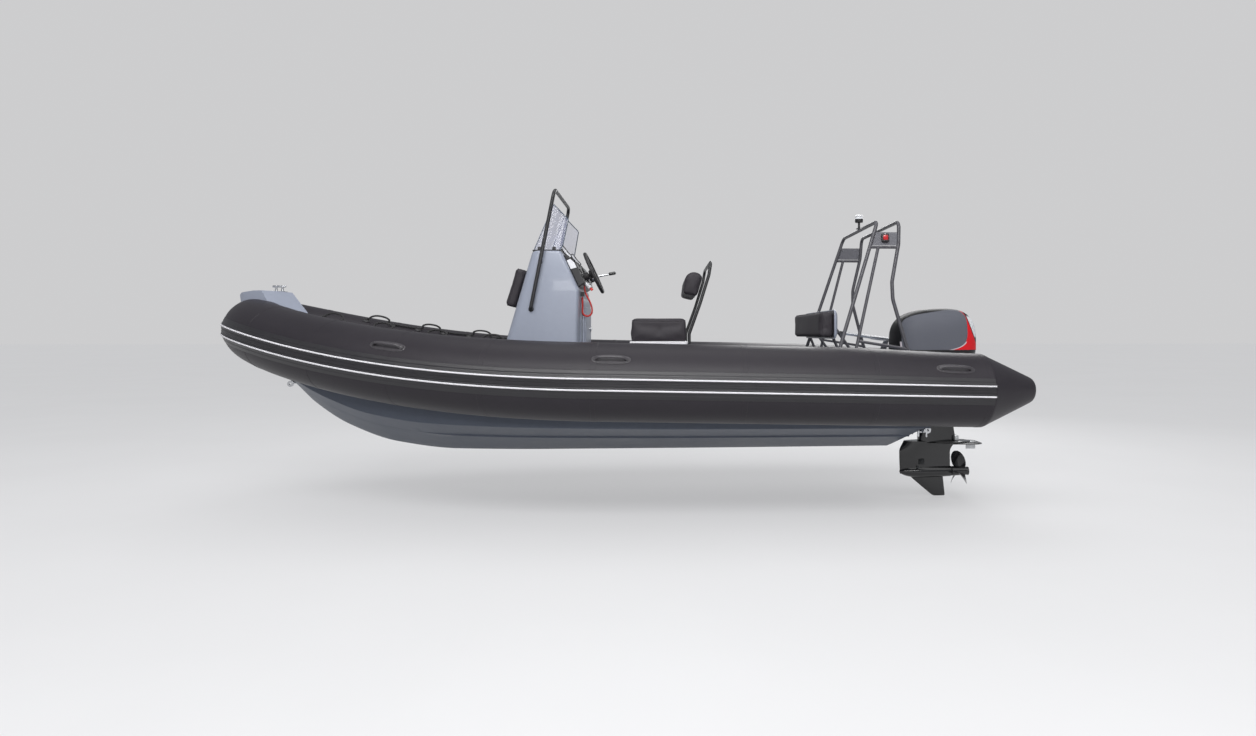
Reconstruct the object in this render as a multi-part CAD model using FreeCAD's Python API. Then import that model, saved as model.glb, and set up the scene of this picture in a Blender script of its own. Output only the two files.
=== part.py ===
"""Rigid inflatable boat with a centre console and an outboard engine.

Millimetres. +X points to the bow, +Y to port, +Z up. The origin is on the centreline, amidships,
at the water plane. Each node is written to parts/NODE.step.
"""
import FreeCAD, Part
import math
import os

V = FreeCAD.Vector
os.makedirs("parts", exist_ok=True)

# ---------------------------------------------------------------- driving dimensions
SEAT_GAP = 0.3              # gap between pieces that seat on each other
# buoyancy tubes
TUBE_R = 270.0
TUBE_HALF_BEAM = 960.0      # centreline of the side tube from the centreline of the boat
TUBE_AFT_X = -2650.0        # where the cone begins
TUBE_AFT_Z = 175.0          # height of the tube's centre there
TUBE_SLOPE = 0.021          # rise of the straight side tubes per mm forward
BOW_START_X = 75.0          # where the tube begins to turn in
BOW_LENGTH = 2656.0         # from there to the centreline of the nose
NOSE_X = BOW_START_X + BOW_LENGTH
BOW_SHOULDER = 50.0         # pull of the plan curve along the side tube
BOW_BLUNT = 700.0           # pull of the plan curve across the nose
BOW_RISE = 320.0            # extra rise of the nose over the straight side tubes
BOW_SHEER = 2.37            # power of that rise along the bow
BOW_TAPER = 0.13            # share of its radius that the tube loses towards the nose
CONE_LENGTH = 380.0
CONE_END_R = 85.0
CONE_CAP = 40.0           # rounding of its end
BOW_STEPS = 15              # panels on each side of the bow
BOW_CROWD = 0.4             # how much shorter the panels get towards the nose
# rubbing strake
STRAKE_WIDTH = 190.0
STRAKE_THICK = 10.0
STRIPE_OFFSET = 36.0        # stripe centre above and below the middle of the strake
STRIPE_WIDTH = 12.0
STRIPE_THICK = 6.0
# hull and deck
DECK_Z = 100.0
DECK_THICK = 20.0
DECK_FORE_X = NOSE_X - 1050.0
CHINE_INSET = 130.0         # chine inside the centreline of the tube
FLANGE_DROP = 150.0         # top of the hull below the centreline of the tube, forward
FLANGE_THICK = 25.0         # side of the hull round the fore deck
KEEL_AFT_X = -2300.0        # foot of the transom
TRANSOM_RAKE = 12.0         # degrees, top aft
RAIL_WIDTH = 34.0           # spray rail
# transom well
WELL_FORE_X = -1660.0
WELL_HALF = 300.0
WELL_WALL = 190.0
WELL_TOP_Z = 300.0
WELL_FLOOR_Z = 125.0
TRANSOM_TOP_Z = 190.0
NOTCH_HALF = 290.0
TRANSOM_THICK = 60.0
# console
CONSOLE_HALF = 400.0
CONSOLE_TOP_Z = 1190.0
CONSOLE_FRONT_X = 873.0     # at the deck
CONSOLE_FRONT_LEAN = 0.289  # aft per mm up
CONSOLE_TOP_AFT_X = 335.0
CONSOLE_KNEE = (200.0, 895.0)   # x, z where the dash face meets the aft face
CONSOLE_AFT_X = 222.0       # at the deck
CONSOLE_ROUND = 35.0
SCREEN_THICK = 6.0
RAIL_R = 14.0
# seats
LOCKER_WALL = 18.0
LID_THICK = 16.0
HELM_FORE_X = -188.0
HELM_AFT_X = -626.0
HELM_HALF = 420.0
HELM_TOP_Z = 470.0
HELM_CUSHION = 188.0
HELM_FRAME_R = 12.5
HELM_FRAME_INSET = 25.0     # legs of the hoop inside the side of the locker
HELM_FRAME_HALF = HELM_HALF - HELM_FRAME_INSET
FRONT_SEAT_FORE_X = 1250.0
FRONT_SEAT_AFT_X = 880.0
FRONT_SEAT_HALF = 280.0
FRONT_SEAT_TOP_Z = 390.0
BENCH_FORE_X = -1150.0
BENCH_AFT_X = -1590.0
BENCH_HALF = 600.0
BENCH_TOP_Z = 330.0
SMALL_CUSHION = 95.0
# bow
BOW_LOCKER_TOP_Z = 430.0
BOW_LOCKER_FORE_X = NOSE_X - 170.0
HATCH_FORE_X = NOSE_X - 591.0
HATCH_LENGTH = 400.0
HATCH_AFT_X = HATCH_FORE_X - HATCH_LENGTH
HATCH_LIP = 30.0            # ledge that the lid lies on
HATCH_HALF = 235.0
PLATFORM_TOP_Z = 892.0
# stern arch
ARCH_R = 14.0
ARCH_TOP_Z = 1414.0
PLATE_THICK = 4.0           # plates that carry the side lights
# outboard
TILT_X, TILT_Z = -2405.0, 240.0
STEER_SETBACK = 95.0        # steering axis behind the tilt pin
STEER_X = TILT_X - STEER_SETBACK
SWIVEL_R = 45.0
SWIVEL_LOW_Z, SWIVEL_TOP_Z = -130.0, 220.0
CHEEK_IN = 82.0             # inner face of each clamp cheek from the centreline
CHEEK_THICK = 30.0
TILT_PIN_R = 12.0
KINGPIN_R = 20.0
MID_TOP_Z = 262.0
LEG_SPLIT_Z = -330.0        # gearcase meets midsection
PLATE_Z = -352.0            # underside of the anti-ventilation plate
PROP_Z = -586.0
PROP_R = 168.0
COWL_FORE = 165.0           # ends of the cover from the steering axis
COWL_AFT = -525.0
PAN_LOW_Z = 292.0           # bottom of the lower cowl
COWL_TOP_Z = 770.0
COWL_SPLIT_Z = 430.0
COWL_HALF = 225.0
COWL_WALL = 8.0
POWERHEAD_ROOM = 70.0       # cover above the powerhead
# helm
WHEEL_CENTRE = V(112.0, 120.0, 1044.0)
WHEEL_RISE = 24.7           # degrees the column rises towards the helmsman
WHEEL_R = 165.0
WHEEL_RIM_R = 12.0
SHAFT_R = 14.0
# boarding ladder
LADDER_Y = 530.0 - TUBE_HALF_BEAM
LADDER_HALF = 95.0
LADDER_HINGE = (-2472.0, 505.0)
LADDER_TIP = (-1990.0, 572.0)
LADDER_R = 11.0
LADDER_PIN_R = 8.0
PIN_CLEARANCE = 0.05        # radial, of every hinge pin
# stop-switch lanyard, a curly cord in an open loop under the dash
LANYARD_R = 5.0
LANYARD_Y = 250.0


# ---------------------------------------------------------------- helpers
def save(name, shape):
    shape.exportStep("parts/%s.step" % name)
    facts = (name, len(shape.Solids), shape.isValid(), shape.Volume / 1e6)
    print("%-24s solids %d valid %s volume %.1f l" % facts)


def box(x0, x1, y0, y1, z0, z1):
    return Part.makeBox(x1 - x0, y1 - y0, z1 - z0, V(x0, y0, z0))


def polygon(points):
    return Part.makePolygon(list(points) + [points[0]])


def prism_y(points, half, y0=None):
    """Extrude an x, z outline across the boat."""
    start = -half if y0 is None else y0
    face = Part.Face(polygon([V(x, start, z) for x, z in points]))
    return face.extrude(V(0, 2 * half, 0))


def prism_z(points, z0, z1):
    """Extrude an x, y outline upward."""
    face = Part.Face(polygon([V(x, y, z0) for x, y in points]))
    return face.extrude(V(0, 0, z1 - z0))


def mirror(shape):
    return shape.mirror(V(0, 0, 0), V(0, 1, 0))


def both_sides(shape):
    return Part.makeCompound([shape, mirror(shape)])


def unit(v):
    w = V(v)
    return w.normalize()


def bent_path(points, bend):
    """Straight runs joined by tangent arcs; bend is one radius or a list, one per inner point."""
    radii = bend if isinstance(bend, (list, tuple)) else [bend] * (len(points) - 2)
    edges = []
    start = points[0]
    for i in range(1, len(points) - 1):
        back = unit(points[i - 1] - points[i])
        on = unit(points[i + 1] - points[i])
        turn = math.pi - back.getAngle(on)
        cut = radii[i - 1] * math.tan(turn / 2)
        first = points[i] + back * cut
        last = points[i] + on * cut
        middle = points[i] + unit(back + on) * (radii[i - 1] / math.cos(turn / 2) - radii[i - 1])
        if (first - start).Length > 1e-3:
            edges.append(Part.LineSegment(start, first).toShape())
        edges.append(Part.Arc(first, middle, last).toShape())
        start = last
    edges.append(Part.LineSegment(start, points[-1]).toShape())
    return Part.Wire(edges)


def bent_tube(points, bend, radius):
    path = bent_path(points, bend)
    ring = Part.Wire([Part.makeCircle(radius, points[0], points[1] - points[0])])
    return path.makePipeShell([ring], True, False)


def rod(start, end, radius):
    return Part.makeCylinder(radius, (end - start).Length, start, end - start)


def standing_on(z, shape):
    """Trim whatever reaches below height z."""
    low = shape.BoundBox
    if low.ZMin >= z:
        return shape
    return shape.cut(box(low.XMin - 1, low.XMax + 1, low.YMin - 1, low.YMax + 1, low.ZMin - 1, z))


def axes_placement(origin, x_axis, y_axis, z_axis):
    return FreeCAD.Placement(origin, FreeCAD.Rotation(x_axis, y_axis, z_axis, "ZXY"))


def rounded(shape, radius, pick):
    """Fillet the edges whose middle point satisfies pick."""
    chosen = [e for e in shape.Edges if pick(e.valueAt((e.FirstParameter + e.LastParameter) / 2), e)]
    return shape.makeFillet(radius, chosen)


# ---------------------------------------------------------------- tube centreline
def straight_z(x):
    return TUBE_AFT_Z + TUBE_SLOPE * (x - TUBE_AFT_X)


def station(x, side):
    """Frame on a straight side tube: centre, along, outboard, up, radius."""
    along = unit(V(1, 0, TUBE_SLOPE)) * side
    out = V(0, side, 0)
    return V(x, side * TUBE_HALF_BEAM, straight_z(x)), along, out, along.cross(out), TUBE_R


BOW_PLAN = Part.BezierCurve()
BOW_PLAN.setPoles([V(BOW_START_X, TUBE_HALF_BEAM, 0), V(BOW_START_X + BOW_SHOULDER, TUBE_HALF_BEAM, 0),
                   V(NOSE_X, BOW_BLUNT, 0), V(NOSE_X, 0, 0)])


def bow_station(turn):
    """Frame on the bow; turn runs from 0 (port shoulder) over 1 (nose) to 2 (starboard shoulder)."""
    side = 1 if turn <= 1 else -1
    even = turn if side > 0 else 2 - turn
    t = even * (1 + BOW_CROWD * (1 - even))
    plan = BOW_PLAN.value(t)
    run = BOW_PLAN.tangent(t)[0]
    share = (plan.x - BOW_START_X) / BOW_LENGTH
    centre = V(plan.x, side * plan.y, straight_z(plan.x) + BOW_RISE * share ** BOW_SHEER)
    climb = TUBE_SLOPE + BOW_RISE * BOW_SHEER * share ** (BOW_SHEER - 1) / BOW_LENGTH
    along = unit(V(side * run.x, run.y, side * climb * run.x))
    out = unit(V(-run.y, side * run.x, 0))
    return centre, along, out, along.cross(out), TUBE_R * (1 - BOW_TAPER * share ** 2)


def bow_frames():
    return [bow_station(i / BOW_STEPS) for i in range(2 * BOW_STEPS + 1)]


def tube_frames():
    return [station(TUBE_AFT_X, 1)] + bow_frames() + [station(TUBE_AFT_X, -1)]


def x_frame(x, side):
    """Frame at length x on either side; on the bow it lies on the flat of the nearest panel."""
    if x <= BOW_START_X:
        return station(x, side)
    frames = bow_frames() if side > 0 else bow_frames()[::-1]
    for aft, fore in zip(frames, frames[1:]):
        if aft[0].x <= x <= fore[0].x:
            share = (x - aft[0].x) / (fore[0].x - aft[0].x)
            centre, along, out, up, radius = [a + (b - a) * share for a, b in zip(aft, fore)]
            return centre, unit(fore[0] - aft[0]) * side, out, up, radius


def on_tube(frame, angle, height):
    """Point above the skin of the tube, angle in degrees up from the outboard side."""
    centre, along, out, up, radius = frame
    a = math.radians(angle)
    return centre + (out * math.cos(a) + up * math.sin(a)) * (radius + height)


def skin_axes(x, side, angle):
    """Seat on the skin of the tube, with its unit vectors forward along the skin and out of it."""
    seat = on_tube(x_frame(x, side), angle, 0)
    along = unit(on_tube(x_frame(x + 5, side), angle, 0) - on_tube(x_frame(x - 5, side), angle, 0))
    across = on_tube(x_frame(x, side), angle + 1, 0) - on_tube(x_frame(x, side), angle - 1, 0)
    return seat, along, unit(across.cross(along) * side)


def ring_wire(frame, clearance):
    centre, along, out, up, radius = frame
    circle = Part.makeCircle(radius + clearance)
    circle.Placement = axes_placement(centre, out, up * -1, out.cross(up * -1))
    return Part.Wire([circle])


def band_wire(frame, inner, outer, low, high):
    """Closed section between two heights over the skin and two arc lengths from its middle line."""
    mid = (low + high) / 2

    def at(height, arc):
        return on_tube(frame, math.degrees(arc / frame[4]), height)

    return Part.Wire([
        Part.Arc(at(inner, low), at(inner, mid), at(inner, high)).toShape(),
        Part.LineSegment(at(inner, high), at(outer, high)).toShape(),
        Part.Arc(at(outer, high), at(outer, mid), at(outer, low)).toShape(),
        Part.LineSegment(at(outer, low), at(inner, low)).toShape()])


def band(frames, inner, outer, low, high):
    return Part.makeLoft([band_wire(f, inner, outer, low, high) for f in frames], True, True)


def side_tube(side, clearance=0.0):
    start = station(TUBE_AFT_X, side)[0]
    end = station(BOW_START_X, side)[0]
    return rod(start, end, TUBE_R + clearance)


def bow_tube(clearance=0.0):
    return Part.makeLoft([ring_wire(f, clearance) for f in bow_frames()], True, True)


def tube_envelope(clearance):
    return [side_tube(1, clearance), side_tube(-1, clearance), bow_tube(clearance)]


ENVELOPE = tube_envelope(SEAT_GAP)


def clear_of_tubes(shape):
    for tube in ENVELOPE:
        shape = shape.cut(tube)
    return shape


def largest(shape):
    return max(shape.Solids, key=lambda s: s.Volume)


def clear_of_transom(shape):
    """Trim what lies behind the raked outer face of the transom."""
    cutter = box(-600, 0, -1500, 1500, -300, 1500)
    cutter.rotate(V(0, 0, 0), V(0, 1, 0), -TRANSOM_RAKE)
    cutter.translate(V(KEEL_AFT_X, 0, HULL_SECTIONS[0][1]))
    return shape.cut(cutter)


# ---------------------------------------------------------------- hull
CHINE_FLAT = 0.08           # share of the half width
RAIL_PLACE = 0.55           # spray rail, share of the half width
# keel z and chine z at x, aft to fore
HULL_ROWS = (
    (-2460.0, -372.0, -118.0),
    (-500.0, -377.0, -112.0),
    (BOW_START_X, -377.0, -104.0),
    (NOSE_X - 2231.0, -377.0, -101.0),
    (NOSE_X - 1531.0, -366.0, -83.0),
    (NOSE_X - 1050.0, -304.0, -24.0),
    (NOSE_X - 671.0, -165.0, 90.0),
    (NOSE_X - 401.0, 15.0, 205.0),
    (NOSE_X - 281.0, 135.0, 262.0),
    (NOSE_X - 170.0, 250.0, 315.0),
    (NOSE_X - 80.0, 355.0, 372.0),
)
POCKET_KEEL, POCKET_CHINE = 45.0, 20.0      # floor of the fore pocket above the keel and the chine


def hull_row(x, keel, chine):
    """x, keel z, half width at the chine, chine z, top z."""
    centre = x_frame(x, 1)[0]
    deck_low = DECK_Z - DECK_THICK
    return x, keel, centre.y - CHINE_INSET, chine, deck_low if x <= BOW_START_X else centre.z - FLANGE_DROP


HULL_SECTIONS = [hull_row(*row) for row in HULL_ROWS]
FORE_SECTIONS = [row for row in HULL_SECTIONS if BOW_START_X <= row[0] <= BOW_LOCKER_FORE_X]


def hull_section(x, keel, half, chine, top):
    flat = CHINE_FLAT * half
    inner = half - flat

    def bottom(y):
        return keel + (chine - keel) * y / inner

    rail = RAIL_PLACE * half
    width = RAIL_WIDTH * half / HULL_SECTIONS[0][2]
    one_side = [(0, keel), (rail - width, bottom(rail - width)), (rail, bottom(rail - width)),
                (rail + 2, bottom(rail + 2)), (inner, chine), (half, chine - 3),
                (half + 4, (chine + top) / 2), (half, top)]
    points = [V(x, y, z) for y, z in one_side]
    points += [V(x, -y, z) for y, z in reversed(one_side[1:])]
    return Part.Wire(polygon(points).Edges)


def between_sections(x, column):
    """Value of one column of the hull table at length x."""
    for aft, fore in zip(HULL_SECTIONS, HULL_SECTIONS[1:]):
        if aft[0] <= x <= fore[0]:
            share = (x - aft[0]) / (fore[0] - aft[0])
            return aft[column] + (fore[column] - aft[column]) * share


def keel_z(x):
    return between_sections(x, 1)


def inner_half(x):
    """Half width inside the flange of the hull."""
    return between_sections(x, 2) - FLANGE_THICK


def pocket_section(row, clearance):
    """Inside of the hull forward: a shallow V floor between upright sides."""
    x, keel, half, chine, top = row
    deck_low = DECK_Z - DECK_THICK
    side = half - FLANGE_THICK - clearance
    middle = max(deck_low, keel + POCKET_KEEL) + clearance
    edge = max(deck_low, chine + POCKET_CHINE) + clearance
    points = [V(x, 0, middle), V(x, side, edge), V(x, side, PLATFORM_TOP_Z), V(x, -side, PLATFORM_TOP_Z),
              V(x, -side, edge)]
    return Part.Wire(polygon(points).Edges)


def hull_pocket(clearance):
    return Part.makeLoft([pocket_section(row, clearance) for row in FORE_SECTIONS], True, True)


def transom_x(z):
    """Outer face of the raked transom."""
    return KEEL_AFT_X - math.tan(math.radians(TRANSOM_RAKE)) * (z - HULL_SECTIONS[0][1])


def make_hull():
    hull = Part.makeLoft([hull_section(*row) for row in HULL_SECTIONS], True, True).cut(hull_pocket(0))
    return largest(clear_of_transom(clear_of_tubes(hull)))


def make_deck():
    stations = [WELL_FORE_X] + [row[0] for row in FORE_SECTIONS if row[0] < DECK_FORE_X] + [DECK_FORE_X]
    plan = [(x, inner_half(x) - SEAT_GAP) for x in stations]
    plan += [(x, -y) for x, y in reversed(plan)]
    return largest(clear_of_tubes(prism_z(plan, DECK_Z - DECK_THICK, DECK_Z)))


def make_transom_well():
    outer = box(KEEL_AFT_X - 250, WELL_FORE_X, -TUBE_HALF_BEAM + 120, TUBE_HALF_BEAM - 120,
                DECK_Z - DECK_THICK, WELL_TOP_Z)
    outer = clear_of_transom(clear_of_tubes(outer))
    aft_x = transom_x(TRANSOM_TOP_Z)
    well = box(aft_x + TRANSOM_THICK, WELL_FORE_X - WELL_WALL, -WELL_HALF, WELL_HALF,
               WELL_FLOOR_Z, WELL_TOP_Z + 1)
    notch = box(aft_x - 100, aft_x + TRANSOM_THICK + 1, -NOTCH_HALF, NOTCH_HALF,
                TRANSOM_TOP_Z, WELL_TOP_Z + 1)
    return largest(outer.cut([well, notch]))


# ---------------------------------------------------------------- bow
def make_bow_locker():
    """Fore deck moulding in the pocket of the hull, open under its hatch."""
    reach = box(DECK_FORE_X, BOW_LOCKER_FORE_X, -TUBE_HALF_BEAM, TUBE_HALF_BEAM,
                DECK_Z - DECK_THICK, BOW_LOCKER_TOP_Z)
    outer = largest(clear_of_tubes(hull_pocket(SEAT_GAP).common(reach)))
    cavity = box(HATCH_AFT_X + HATCH_LIP, HATCH_FORE_X - HATCH_LIP, -HATCH_HALF + HATCH_LIP,
                 HATCH_HALF - HATCH_LIP, DECK_Z + LOCKER_WALL, BOW_LOCKER_TOP_Z + 1)
    return outer.cut(cavity)


def make_bow_hatch():
    lid = box(HATCH_AFT_X, HATCH_FORE_X, -HATCH_HALF, HATCH_HALF,
              BOW_LOCKER_TOP_Z + SEAT_GAP, BOW_LOCKER_TOP_Z + SEAT_GAP + LID_THICK)
    return rounded(lid, 40, lambda p, e: abs(e.tangentAt(e.FirstParameter).z) > 0.99)


# outline of the bow step from its front edge round, x from the nose
PLATFORM_SIDE = ((131, 862), (107, 880), (-31, PLATFORM_TOP_Z), (-176, PLATFORM_TOP_Z), (-371, 864),
                 (-469, 742), (-469, BOW_LOCKER_TOP_Z + SEAT_GAP), (-131, BOW_LOCKER_TOP_Z + SEAT_GAP),
                 (107, 790))
# half width in plan, x from the nose
PLATFORM_PLAN = ((141, 85), (69, 150), (-41, 205), (-231, 270), (-481, 330))
BITT_X = NOSE_X - 121.0


def make_platform():
    side = prism_y([(NOSE_X + x, z) for x, z in PLATFORM_SIDE], 400)
    plan = [(NOSE_X + x, y) for x, y in PLATFORM_PLAN]
    plan += [(x, -y) for x, y in reversed(plan)]
    block = side.common(prism_z(plan, BOW_LOCKER_TOP_Z, PLATFORM_TOP_Z + 10))
    return largest(clear_of_tubes(block))


def make_bitt():
    base = PLATFORM_TOP_Z + SEAT_GAP
    plate = box(BITT_X - 48, BITT_X + 48, -30, 30, base, base + 5)
    posts = [Part.makeCylinder(9, 40, V(BITT_X + dx, 0, base + 3)) for dx in (-24, 24)]
    bar = Part.makeCylinder(8, 100, V(BITT_X - 50, 0, base + 44), V(1, 0, 0))
    return plate.fuse(posts).fuse(bar)


EYE_R = 9.0                 # bore of the towing eyes


def make_eye(origin, outward, across):
    """Forged eye: round foot and a ring with a short cylindrical bore along across."""
    up = outward.cross(across)
    ring = Part.makeCylinder(24, 16, V(0, 0, -8)).cut(Part.makeCylinder(EYE_R, 20, V(0, 0, -10)))
    ring.Placement = axes_placement(origin + outward * 34, outward, up, outward.cross(up))
    foot = Part.makeCylinder(26, 6, origin, outward)
    neck = Part.makeCylinder(11, 15, origin, outward)
    return foot.fuse([neck, ring])


BOW_EYE_X = NOSE_X - 233.0  # foot of the bow eye on the stem
STERN_EYE = (700.0, -142.0)     # y, z on the transom


def make_bow_eye():
    stem = unit(V(10, 0, keel_z(BOW_EYE_X + 5) - keel_z(BOW_EYE_X - 5)))
    out = V(stem.z, 0, -stem.x)
    return make_eye(V(BOW_EYE_X, 0, keel_z(BOW_EYE_X)) + out * SEAT_GAP, out, V(0, 1, 0))


def make_stern_eyes():
    rake = math.radians(TRANSOM_RAKE)
    y, z = STERN_EYE
    out = V(-math.cos(rake), 0, -math.sin(rake))
    return both_sides(make_eye(V(transom_x(z), y, z) + out * SEAT_GAP, out, V(0, 1, 0)))


# ---------------------------------------------------------------- tube fittings
HANDLES = (NOSE_X - 1346.0, -95.0, -2392.0)     # places along the boat
HANDLE_ANGLE = 37.0


def make_handle(x, side):
    """Rubber carry handle: oval pad and a grip bar over a finger gap."""
    seat, along, radial = skin_axes(x, side, HANDLE_ANGLE)
    pad = box(-95, 95, -38, 38, 0, 4)
    pad = pad.fuse([Part.makeCylinder(38, 4, V(s * 95, 0, 0)) for s in (-1, 1)]).removeSplitter()
    grip = bent_tube([V(-92, 0, 5.5), V(-80, 0, 34), V(80, 0, 34), V(92, 0, 5.5)], 20, 9)
    handle = pad.fuse(grip)
    handle.Placement = axes_placement(seat + radial * SEAT_GAP, along, radial.cross(along), radial)
    return handle


LIFELINE_X = [NOSE_X - aft for aft in (1916.0, 1493.0, 1061.0, 646.0)]
LIFELINE_ANGLE = 120.0
ROPE_R = 8.0
ARCH_SPAN = 190.0
ARCH_RISE = 52.0


def make_lifeline(side):
    """Grab rope that rises in a loop between each pair of patches."""
    points = []
    for x in LIFELINE_X:
        for share, rise in ((-0.5, 0), (-0.25, ARCH_RISE), (0.25, ARCH_RISE), (0.5, 0)):
            dx = share * ARCH_SPAN
            points.append(on_tube(x_frame(x + dx, side), LIFELINE_ANGLE, ROPE_R + 6 + rise))
    rope = bent_tube(points, 30, ROPE_R)
    patches = []
    for x in LIFELINE_X:
        for dx in (-ARCH_SPAN / 2 - 12, ARCH_SPAN / 2 + 12):
            seat, along, radial = skin_axes(x + dx, side, LIFELINE_ANGLE)
            patches.append(Part.makeCylinder(32, 12, seat + radial * 3 * SEAT_GAP, radial))
    return rope.fuse(patches)


# ---------------------------------------------------------------- console
def console_front(z):
    return CONSOLE_FRONT_X - CONSOLE_FRONT_LEAN * (z - DECK_Z)


def make_console():
    foot = DECK_Z + SEAT_GAP
    side = [(console_front(foot), foot), (console_front(CONSOLE_TOP_Z), CONSOLE_TOP_Z),
            (CONSOLE_TOP_AFT_X, CONSOLE_TOP_Z), CONSOLE_KNEE, (CONSOLE_AFT_X, foot)]
    body = prism_y(side, CONSOLE_HALF)
    body = rounded(body, CONSOLE_ROUND, lambda p, e: abs(abs(p.y) - CONSOLE_HALF) < 1
                   and abs(e.tangentAt(e.FirstParameter).z) > 0.5)
    panel = box(CONSOLE_KNEE[0] - 60, CONSOLE_AFT_X + 6, -270, -250, 150, CONSOLE_KNEE[1] - 60)
    return body.cut(panel)


def on_plane(a, b, c, x, z):
    """Point at x, z on the plane through a, b and c."""
    normal = (b - a).cross(c - a)
    return V(x, a.y - (normal.x * (x - a.x) + normal.z * (z - a.z)) / normal.y, z)


def thick_panel(corners, thickness):
    face = Part.Face(polygon(corners))
    normal = (corners[1] - corners[0]).cross(corners[2] - corners[1])
    return face.extrude(unit(normal) * thickness)


def make_windscreen():
    base = CONSOLE_TOP_Z + SEAT_GAP
    front_x = console_front(CONSOLE_TOP_Z) - 12
    top = V(401, 300, 1557)
    foot, heel = V(front_x, 350, base), V(345, 372, base)
    front = thick_panel([V(front_x, -350, base), foot, top, V(top.x, -top.y, top.z)], SCREEN_THICK)
    rear = [on_plane(foot, heel, top, x, z) for x, z in ((322, 1240), (285, 1436))]
    wing = thick_panel([foot, heel] + rear + [top], SCREEN_THICK)
    return front.fuse([wing, mirror(wing)])


def make_console_rail():
    foot, head = V(557, CONSOLE_HALF + 26, 746), V(378, CONSOLE_HALF + 26, 1650)
    points = [V(foot.x, CONSOLE_HALF + SEAT_GAP, foot.z), foot, head]
    points += [V(p.x, -p.y, p.z) for p in reversed(points)]
    rail = bent_tube(points, [22, 60, 60, 22], RAIL_R)
    tie_z = 1100.0
    tie_x = foot.x + (head.x - foot.x) * (tie_z - foot.z) / (head.z - foot.z)
    ties = [rod(V(tie_x, s * (CONSOLE_HALF + SEAT_GAP), tie_z), V(tie_x, s * foot.y, tie_z), 9)
            for s in (1, -1)]
    return rail.fuse(ties)


def dash_frame():
    """Unit vectors down the dash face and out of it."""
    down = unit(V(CONSOLE_KNEE[0] - CONSOLE_TOP_AFT_X, 0, CONSOLE_KNEE[1] - CONSOLE_TOP_Z))
    return down, V(down.z, 0, -down.x)


def make_dash():
    down, out = dash_frame()
    top = V(CONSOLE_TOP_AFT_X, 0, CONSOLE_TOP_Z) + out * SEAT_GAP
    outline = [top + down * 30, top + down * 30 + out * 18, top + down * 120 + out * 60,
               top + down * 290 + out * 60, top + down * 300 + out * 10, top + down * 300]
    return prism_y([(p.x, p.z) for p in outline], CONSOLE_HALF - 60)


def wheel_placement():
    rise = math.radians(WHEEL_RISE)
    axis = V(-math.cos(rise), 0, math.sin(rise))
    across = V(0, 1, 0)
    return axes_placement(WHEEL_CENTRE, across.cross(axis), across, axis)


def make_steering_wheel():
    rim = Part.makeTorus(WHEEL_R, WHEEL_RIM_R)
    hub = Part.makeCylinder(34, 34, V(0, 0, -34))
    parts = [hub, Part.makeCylinder(SHAFT_R, 60, V(0, 0, -62))]
    for spoke in range(3):
        bar = box(20, WHEEL_R - 4, -14, 14, -12, -4)
        bar.rotate(V(0, 0, 0), V(0, 0, 1), 120 * spoke + 90)
        parts.append(bar)
    wheel = rim.fuse(parts)
    wheel.Placement = wheel_placement()
    return wheel


def make_column(dash, console):
    """Steering column from the dash to the wheel, bored for the wheel's shaft."""
    column = Part.makeCylinder(30, 160, V(0, 0, -202))
    column = column.cut(Part.makeCylinder(SHAFT_R + PIN_CLEARANCE, 22, V(0, 0, -63)))
    column.Placement = wheel_placement()
    pieces = column.cut([dash, console]).Solids
    return min(pieces, key=lambda s: s.CenterOfMass.x)


def make_throttle():
    down, out = dash_frame()
    base = V(CONSOLE_TOP_AFT_X, -280, CONSOLE_TOP_Z) + down * 215 + out * (60 + 2 * SEAT_GAP)
    binnacle = box(-35, 35, -30, 30, 0, 55)
    binnacle.Placement = axes_placement(base, down * -1, V(0, 1, 0), out)
    hub = Part.makeCylinder(24, 24, base + out * 40 + V(0, 30, 0), V(0, 1, 0))
    tip = base + out * 40 + V(-125, 42, 25)
    lever = rod(base + out * 40 + V(0, 42, 0), tip, 8)
    grip = Part.makeCylinder(13, 60, tip + V(0, -22, 0), V(0, 1, 0))
    return binnacle.fuse([hub, lever, grip])


def make_front_backrest():
    low, high = 742.0, 1058.0
    gap, thick = 26.0, 62.0
    slope = unit(V(-CONSOLE_FRONT_LEAN, 0, 1))
    out = V(slope.z, 0, -slope.x)
    a = V(console_front(low), 0, low) + out * gap
    b = V(console_front(high), 0, high) + out * gap
    pad = prism_y([(p.x, p.z) for p in (a, a + out * thick, b + out * thick, b)], 240)
    feet = []
    for y in (-150, 150):
        for share in (0.2, 0.8):
            at = V(console_front(low), y, low) + (b - a) * share
            feet.append(rod(at + out * SEAT_GAP, at + out * (gap + 1), 14))
    return pad.fuse(feet)


# x, offset from its own plane and z: down the aft leg of the loop, round and up to the switch
LANYARD_ROUTE = ((172, 0, 934), (172, 0, 902), (160, 2, 868), (142, 3, 834), (125, 1, 798),
                 (114, -1, 760), (112, -2, 734), (119.4, -3, 711.1), (138.9, -4, 696.9),
                 (163.1, -4, 696.9), (182.6, -3, 711.1), (190, -2, 734), (187, -1, 768), (188, 0, 810),
                 (188, 0, 852))


def make_lanyard():
    """Curly cord, given as one tube of its outer diameter."""
    points = [V(x, LANYARD_Y + dy, z) for x, dy, z in LANYARD_ROUTE]
    bends = []
    for before, here, after in zip(points, points[1:], points[2:]):
        turn = (here - before).getAngle(after - here)
        run = min((here - before).Length, (after - here).Length)
        bends.append(0.45 * run / math.tan(turn / 2))
    print("lanyard radii", [round(b) for b in bends])
    return bent_tube(points, bends, LANYARD_R)


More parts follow.
